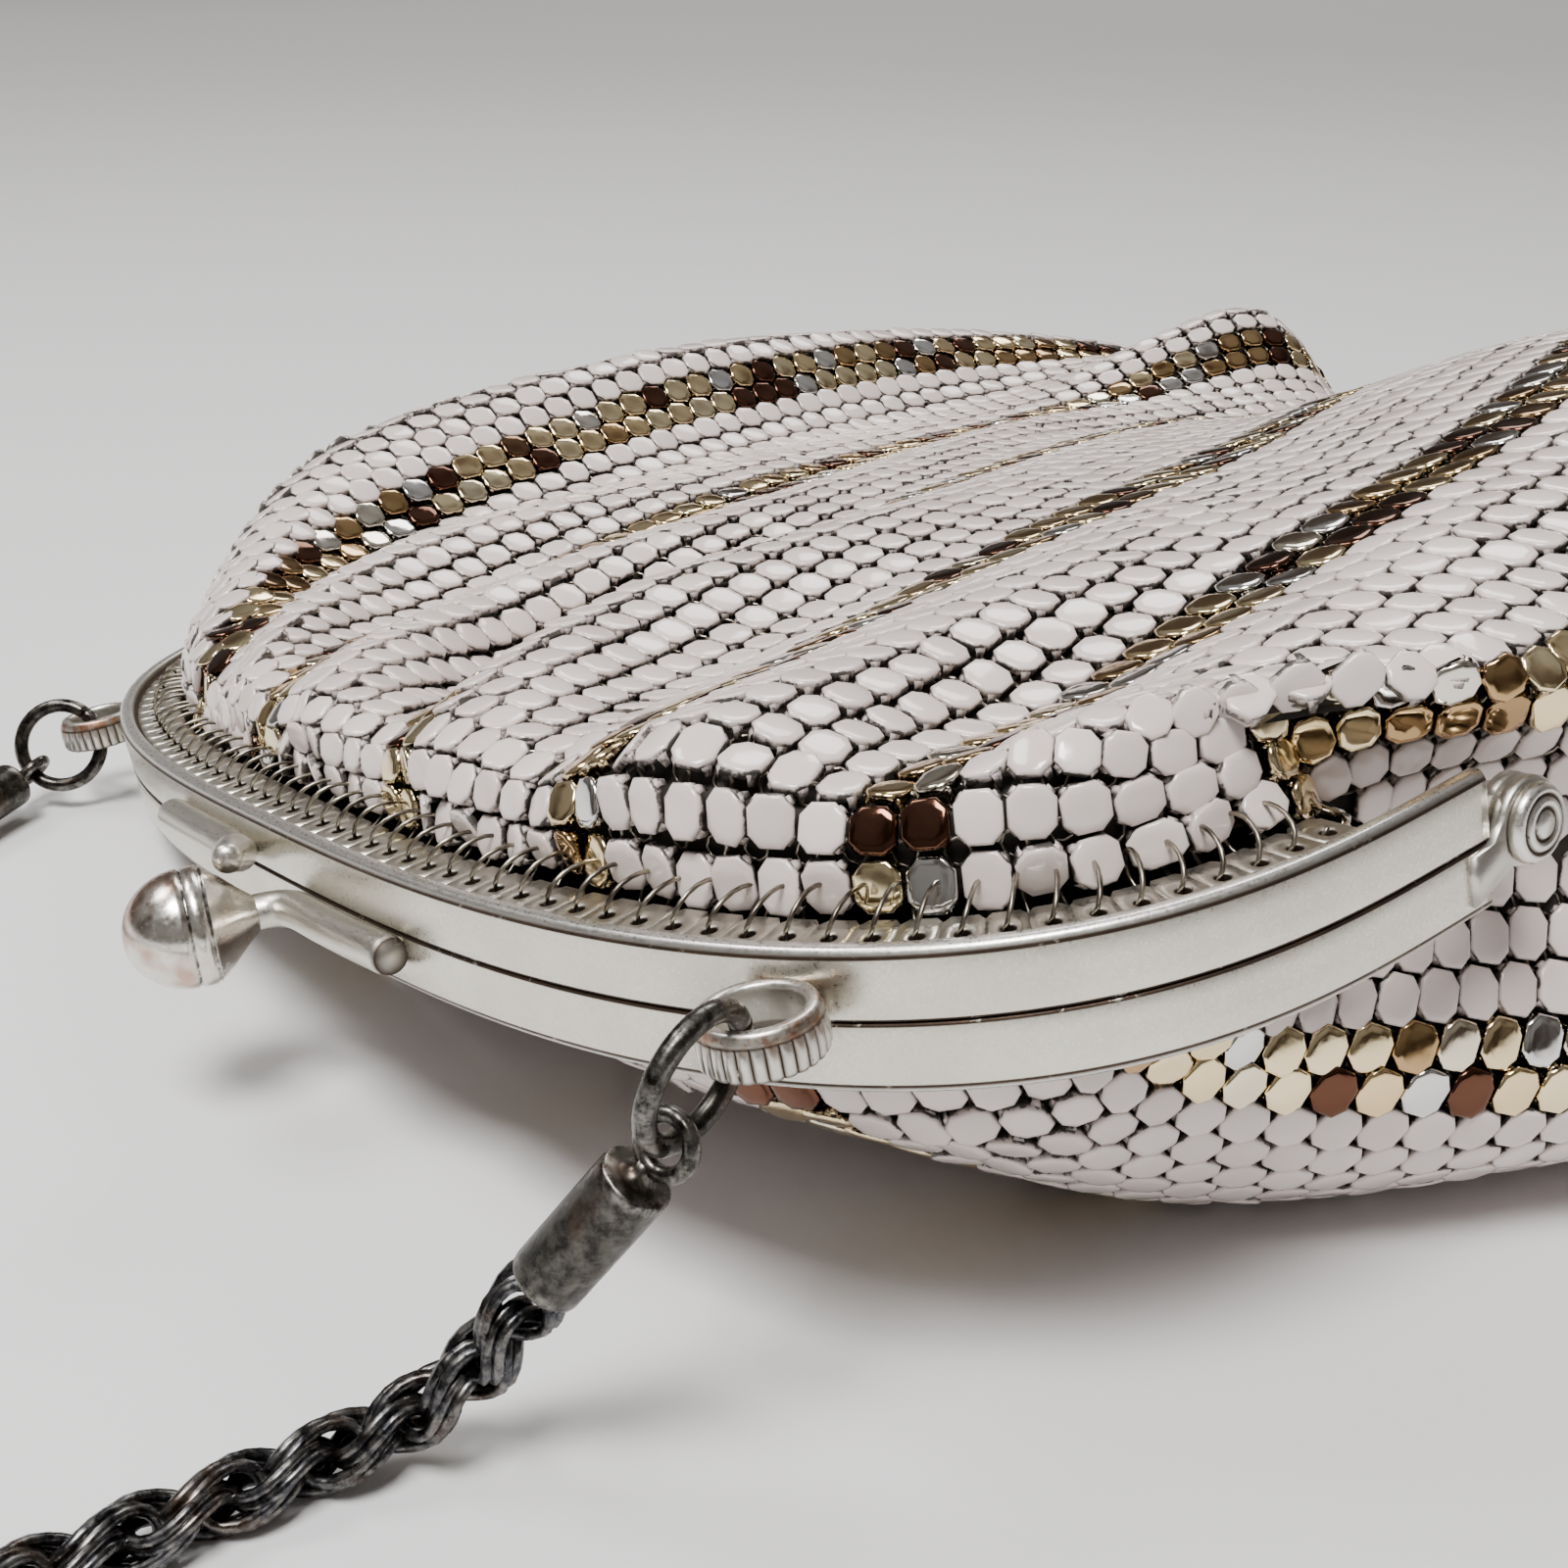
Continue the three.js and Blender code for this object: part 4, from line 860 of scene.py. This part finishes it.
def milled_ring(hand):
    """Milled ring: a closed section round a circle; its outer radius is R - 0.2 + 0.2 |cos 14a|^0.5
    over the ribs, and plain above them."""
    angle = np.arange(28 * 8) / (28 * 8) * TURN
    section = np.array([  # radius, height, share of ribs, tarnish, rim (paler silver painted as highlight)
        [2.60, 0.10, 0, 0.9, 0], [2.53, 0.30, 0, 0.6, 0], [2.53, 1.95, 0, 0.4, 0], [2.60, 2.26, 0, 0.1, 0.6],
        [2.76, 2.38, 0, 0, 1], [3.12, 2.40, 0, 0, 1], [3.28, 2.34, 0, 0.1, 0.9], [3.38, 2.18, 0, 0.5, 0.2],
        [3.48, 1.92, 0, 0.3, 0], [3.56, 1.72, 0, 0.8, 0], [3.52, 1.62, 0.4, 1, 0], [3.62, 1.48, 1, 0.2, 0.5],
        [3.68, 0.80, 1, 0.1, 0.6], [3.66, -0.10, 1, 0.2, 0.5], [3.48, -0.38, 0.6, 0.9, 0], [2.90, -0.42, 0, 0.9, 0]])
    rib = np.abs(np.cos(14 * angle)) ** 0.5
    radius = section[:, :1] - 0.26 * section[:, 2:3] * (1 - rib)
    centre = on_arch(hand * 0.551 * ARCH_LENGTH / 2, -3.65 + 1.3 / 3, 0.3)
    points = np.stack([centre[0] + radius * np.cos(angle), centre[1] + radius * np.sin(angle),
                       centre[2] + section[:, 1:2] + 0 * angle], -1)
    faces = grid_faces(len(section), len(angle), True, True)
    tarnish_and_shade = np.maximum(section[:, 3:4], section[:, 2:3] * (1 - rib) * 1.2)
    return points.reshape(-1, 3), [faces], [tarnish_and_shade.ravel(), (section[:, 4:5] * (0.3 + 0.7 * rib)).ravel(),
        np.repeat([0, 0, 0, 0, 0.2, 0.3, 0.7, 1, 1, 1, 0.8, 0.5, 0.1, 0, 0, 0], len(angle))]


def catch_rods():
    """The two rods on the bands and the finger: round sections carried along splined points."""
    parts = []
    for hand, side, tail in ((-1, 1, [[-2.2, -43.7, 1.55], [-0.5, -44.3, 2.2], [1.5, -45.4, 2.9], [3.3, -46.3, 3.15]]),
                             (1, -1, [[5.4, -43.7, -1.1], [4.6, -44.4, -1.1], [4.0, -45.6, -1.05]])):
        far = 17.6 if side > 0 else 20.9
        lead = on_arch(hand * np.linspace(far, 6.5, 4), -1.12, 1.5 if side > 0 else -1.1)
        path = spline(np.concatenate([lead, tail]), 9)
        radius = np.full(len(path), 1.36)
        radius[0] = 1.24
        if side > 0:
            radius[-12:] = np.linspace(1.36, 1.0, 12)
            radius[-2:] = [0.85, 0.55]
        points, faces = carried(path, radius, radius, [0, 0, 1.0], 20)
        tarnish_and_shade = np.append(np.repeat(np.where(np.arange(len(path)) < 1, 1.0, 0.12), 20), [0.1, 0.1])
        # Painted shade: a dark strip along the underside of each rod, added to the same mark as the tarnished lines.
        under = np.append(np.tile(0.9 * (np.sin(np.arange(20) / 20 * TURN) < -0.80), len(path)), [0, 0])
        parts.append((points, faces, [np.maximum(tarnish_and_shade, under), np.full(len(points), 0.25)]))
    return parts


def knob():
    """Ball knob: cone, collar with two grooves and a dome, turned about its leaning axis."""
    cone, collar, radius = 3.5, 1.45, 4.3
    bend = np.linspace(0, 90, 15)[1:]
    dome = [[radius * np.cos(np.radians(a)), cone + collar + radius * 1.05 * np.sin(np.radians(a)), 0.05, 0.7] for a in bend]
    profile = np.array([[0.0, -0.4, 0, 0], [1.0, -0.35, 0.3, 0], [1.25, 0.2, 0.3, 0], [2.2, 1.3, 0, 0.3], [3.25, 2.35, 0, 0.4],
                        [4.05, cone - 0.16, 0, 0.2], [4.17, cone - 0.02, 0.9, 0], [4.09, cone + 0.10, 1, 0],
                        [4.28, cone + 0.20, 0, 0.2], [4.32, cone + 0.7, 0, 0.3], [4.30, cone + collar - 0.22, 0, 0.2],
                        [4.14, cone + collar - 0.12, 1, 0], [4.16, cone + collar, 0.9, 0], [4.27, cone + collar + 0.12, 0, 0.4]] + dome)
    points, faces = turned(profile[:, :2], (4.25, -45.3, -1.05), (-0.28, -0.957, 0.074), 56)
    return points, faces, [np.repeat(profile[:, 2], 56), np.repeat(profile[:, 3], 56)]


def sewing_coil(side):
    """Sewing wire: a coil that goes once through every hole and back into the net,
    inset 5.4 - 2.2 cos w, level 3.8 + 1.5 sin w, one hole's pitch a turn."""
    turns = SEW_COUNT - 1
    w = np.linspace(0, turns * TURN, turns * 18 + 1)
    wobble = 1 + 0.09 * np.sin(w * 0.37) + 0.06 * np.sin(w * 0.113 + 1)
    arcs = (0.5 + w / TURN) / SEW_COUNT * SEWN - SEWN / 2 + 0.25 * np.sin(w)
    path = on_arch(arcs, 5.4 - 2.2 * np.cos(w), side * (3.8 + 1.5 * wobble * np.sin(w)))
    points, faces = carried(on_table(path), 0.155, 0.155, FRAME_UP, 5)
    return points, faces


def merge(parts):
    """Parts of (points, faces, marks) as one."""
    points, faces = joined([part[:2] for part in parts])
    return points, faces, [np.concatenate([part[2][k] for part in parts]) for k in (0, 1)]


def dress_frame():
    silver, worn, wire = satin_silver(), polished_knob(), link_wire()
    for name, side in (("frame_front_half", 1), ("frame_back_half", -1)):
        parts = [band(side), ear(1, side), ear(-1, side)]
        label = "front" if side > 0 else "back"
        points, faces, (tarnish_and_shade, rim) = merge(parts)
        put_in_mesh(f"{label}_band", on_table(points), faces, silver, [name], {"tarnish_and_shade": tarnish_and_shade, "rim": rim})
        points, faces, (tarnish_and_shade, rim) = flange(side)
        put_in_mesh(f"{label}_flange", on_table(points), faces, silver, [name], {"tarnish_and_shade": tarnish_and_shade, "rim": rim})
        points, faces = sewing_coil(side)
        put_in_mesh(f"{label}_sewing_coil", points, faces, wire, [name])
    rods = catch_rods()
    for label, part, name in (("catch_finger", rods[0], "frame_front_half"), ("catch_rod", rods[1], "frame_back_half")):
        put_in_mesh(label, on_table(part[0]), part[1], silver, [name], {"tarnish_and_shade": part[2][0], "rim": part[2][1]})
    points, faces, (tarnish_and_shade, rim) = knob()
    put_in_mesh("catch_knob", on_table(points), faces, worn, ["frame_back_half"], {"tarnish_and_shade": tarnish_and_shade, "rim": rim})
    for label, hand in (("right", 1), ("left", -1)):
        points, faces, (tarnish_and_shade, rim, copper) = milled_ring(hand)
        put_in_mesh(f"milled_ring_{label}", on_table(points), faces, silver, ["frame_front_half"],
                    {"tarnish_and_shade": tarnish_and_shade, "rim": rim, "copper": copper})
        points, faces, (tarnish_and_shade, rim) = rivet(hand)
        put_in_mesh(f"rivet_{label}", on_table(points), faces, silver, [f"hinge_rivet_{label}"],
                    {"tarnish_and_shade": tarnish_and_shade, "rim": rim})


# The handle: jump rings, caps with their eyes, and the rope chain between them

ENDS = {
    "right": dict(hand=1, reach=[0.33, -0.88, 0.37], hang=[-0.04, -0.44, -0.9], drop=[-0.04, -0.44, -0.9],
                  pull=[-0.41, -0.42, -0.81]),
    "left": dict(hand=-1, reach=[-0.6, -0.8, 0], hang=[0.34, -0.26, -0.9], drop=[-0.22, -0.76, -0.61],
                 pull=[0.52, -0.85, -0.06]),
}
CHAIN_ROUTE = np.array([
    [47, -51.4, 7.2], [44.6, -55.2, 3.5], [43.2, -60, 2.3], [42.2, -70, 2.1], [41, -84, 2.1], [38.6, -102, 2.1],
    [35, -122, 2.1], [28, -142, 2.1], [16, -157, 2.1], [0, -163, 2.1], [-15, -158, 2.1], [-27, -144, 2.1],
    [-34, -124, 2.1], [-38, -104, 2.1], [-40.6, -86, 2.1], [-42.6, -72, 2.2], [-45, -62, 2.4]])


def end_places(hand, reach, hang, drop, pull):
    """Middle of the jump ring, of the eye, and both ends of the cap, as the solids have them."""
    reach, hang, drop, pull = (unit(np.array(w, float)) for w in (reach, hang, drop, pull))
    over = unit(reach - FRAME_UP * reach.dot(FRAME_UP))
    point = on_table(on_arch(hand * 0.551 * ARCH_LENGTH / 2, -3.65 + 1.3 / 3, 2.7))
    centre = point + over * 3.1 + FRAME_UP * (0.3 + 0.65 + 1.1 / 3) + hang * 3.85
    eye = centre + drop * 3.85
    cap_start = eye + pull * 2.6
    return dict(reach=reach, hang=hang, drop=drop, pull=pull, centre=centre, eye=eye, cap_start=cap_start,
                cap_end=cap_start + pull * 9)


def jump_ring(places):
    """Round wire bent in a circle, with a fine cut where its two ends meet."""
    normal = unit(np.cross(places["hang"], places["reach"]))
    across = np.cross(normal, places["hang"])
    angle = np.radians(np.linspace(218, 218 + 357.6, 73))
    path = places["centre"] + 3.85 * (np.cos(angle)[:, None] * places["hang"] + np.sin(angle)[:, None] * across)
    points, faces = carried(path, 0.65, 0.65, normal, 18)
    # Rim mark along one side of the wire, where dark_steel paints a lighter highlight.
    inner = np.append(np.tile(0.42 * (np.cos(np.arange(18) / 18 * TURN) > 0.5), 73), [0, 0])
    return points, faces, inner


def cap_and_eye(places):
    """Eye: a wire ring; neck and barrel: a profile turned about the cap's axis, open for the chain."""
    pull, eye, start = places["pull"], places["eye"], places["cap_start"]
    ring_normal = unit(np.cross(places["hang"], places["reach"]))
    normal = np.cross(ring_normal, places["drop"])
    normal = unit(normal - pull * normal.dot(pull))
    across = np.cross(normal, pull)
    angle = np.arange(48) / 48 * TURN
    path = eye + 1.6 * (np.cos(angle)[:, None] * pull + np.sin(angle)[:, None] * across)
    eye_part = carried(path, 0.5, 0.5, normal, 14, closed=True)
    # Radius, height and rim mark of the neck and barrel; the rim mark paints lighter highlights on the cap's edges.
    neck = np.array([[0.0, -1.1, 0.2], [0.62, -1.0, 0.2], [0.60, -0.6, 0.3], [0.85, -0.25, 0.2], [1.25, -0.02, 0.0], [1.95, 0.02, 0.5],
                     [2.10, 0.10, 1.0], [2.15, 0.30, 0.6], [2.15, 0.9, 0.08], [2.15, 8.1, 0.08], [2.15, 8.70, 0.6], [2.10, 8.92, 1.0],
                     [1.98, 9.0, 1.0], [1.84, 8.92, 0.5], [1.80, 8.4, 0.0], [1.80, 0.8, 0.0], [0.0, 0.7, 0.0]])
    barrel = turned(neck[:, :2], start, pull, 48)
    points, faces = joined([eye_part, barrel])
    return points, faces, np.concatenate([np.full(len(eye_part[0]), 0.5), np.repeat(neck[:, 2], 48)])


def chain_path(first, last):
    """The route of the chain as the solid has it, sampled at even lengths."""
    knots = np.concatenate([[first["cap_end"] + first["pull"] * 0.7, first["cap_end"] + first["pull"] * 2.1],
                            CHAIN_ROUTE, [last["cap_end"] + last["pull"] * 2.1, last["cap_end"] + last["pull"] * 0.7]])
    path = spline(knots, 40)
    along = np.concatenate([[0], np.cumsum(np.linalg.norm(np.diff(path, axis=0), axis=1))])
    return path, along


def rope_chain(ends):
    """Rope chain: ovals of double wire, each 1.9 mm on and 62 degrees round from the one before,
    twisted as they go: centre + way·a·cos(s) + across·b·sin(s) + side·c·sin(2s)."""
    path, along = chain_path(ends["right"], ends["left"])
    step = 1.9
    at = np.arange(-1.2, along[-1] + 1.2, step)
    count = len(at)
    clamp = np.clip(at, 0, along[-1])
    centre = np.stack([np.interp(clamp, along, path[:, k]) for k in range(3)], 1)
    ahead = np.stack([np.interp(np.clip(at + 1, 0, along[-1]), along, path[:, k]) for k in range(3)], 1)
    behind = np.stack([np.interp(np.clip(at - 1, 0, along[-1]), along, path[:, k]) for k in range(3)], 1)
    way = unit(ahead - behind)
    centre += way * (at - clamp)[:, None]
    base = unit(np.cross(way, [0, 0, 1.0]))
    top = np.cross(base, way)
    turn = np.arange(count) * np.radians(62.0)
    s = np.arange(22) / 22 * TURN
    sides = 6
    parts = []
    for offset in (-0.34, 0.34):
        x = 2.75 * np.cos(s)
        y = 1.78 * np.sin(s)
        z = offset + 0 * s
        spin = turn[:, None] + x[None] * np.radians(15.0)
        across = base[:, None] * np.cos(spin)[..., None] + top[:, None] * np.sin(spin)[..., None]
        normal = np.cross(way[:, None], across)
        line = centre[:, None] + way[:, None] * x[None, :, None] + across * y[None, :, None] + normal * z[None, :, None]
        tangent = unit(np.roll(line, -1, 1) - np.roll(line, 1, 1))
        up = unit(normal - tangent * np.sum(normal * tangent, -1, keepdims=True))
        out = np.cross(tangent, up)
        a = np.arange(sides) / sides * TURN
        tube = line[:, :, None] + 0.38 * (out[:, :, None] * np.cos(a)[:, None] + up[:, :, None] * np.sin(a)[:, None])
        parts.append(repeated(tube.reshape(count, -1, 3), [grid_faces(22, sides, True, True)]))
    points, faces = joined(parts)
    points[:, 2] = np.maximum(points[:, 2], 0.02)
    return points, faces


def dress_handle():
    steel = dark_steel()
    rope = dark_steel("gunmetal_wire", (0.075, 0.077, 0.087), (0.016, 0.016, 0.019))
    ends = {label: end_places(**ways) for label, ways in ENDS.items()}
    for label, places in ends.items():
        points, faces, rim = jump_ring(places)
        put_in_mesh(f"jump_ring_{label}_wire", points, faces, steel, [f"jump_ring_{label}"], {"rim": rim})
        points, faces, rim = cap_and_eye(places)
        put_in_mesh(f"end_cap_{label}", points, faces, steel, [f"chain_end_cap_{label}"], {"rim": rim})
    points, faces = rope_chain(ends)
    # Rim mark over the whole chain: lighter highlights painted in noise patches along the wires.
    put_in_mesh("rope_chain", points, faces, rope, ["chain"], {"rim": np.full(len(points), 0.35)})


set_camera()
set_studio()
dress_bag()
dress_frame()
dress_handle()

bpy.context.view_layer.update()
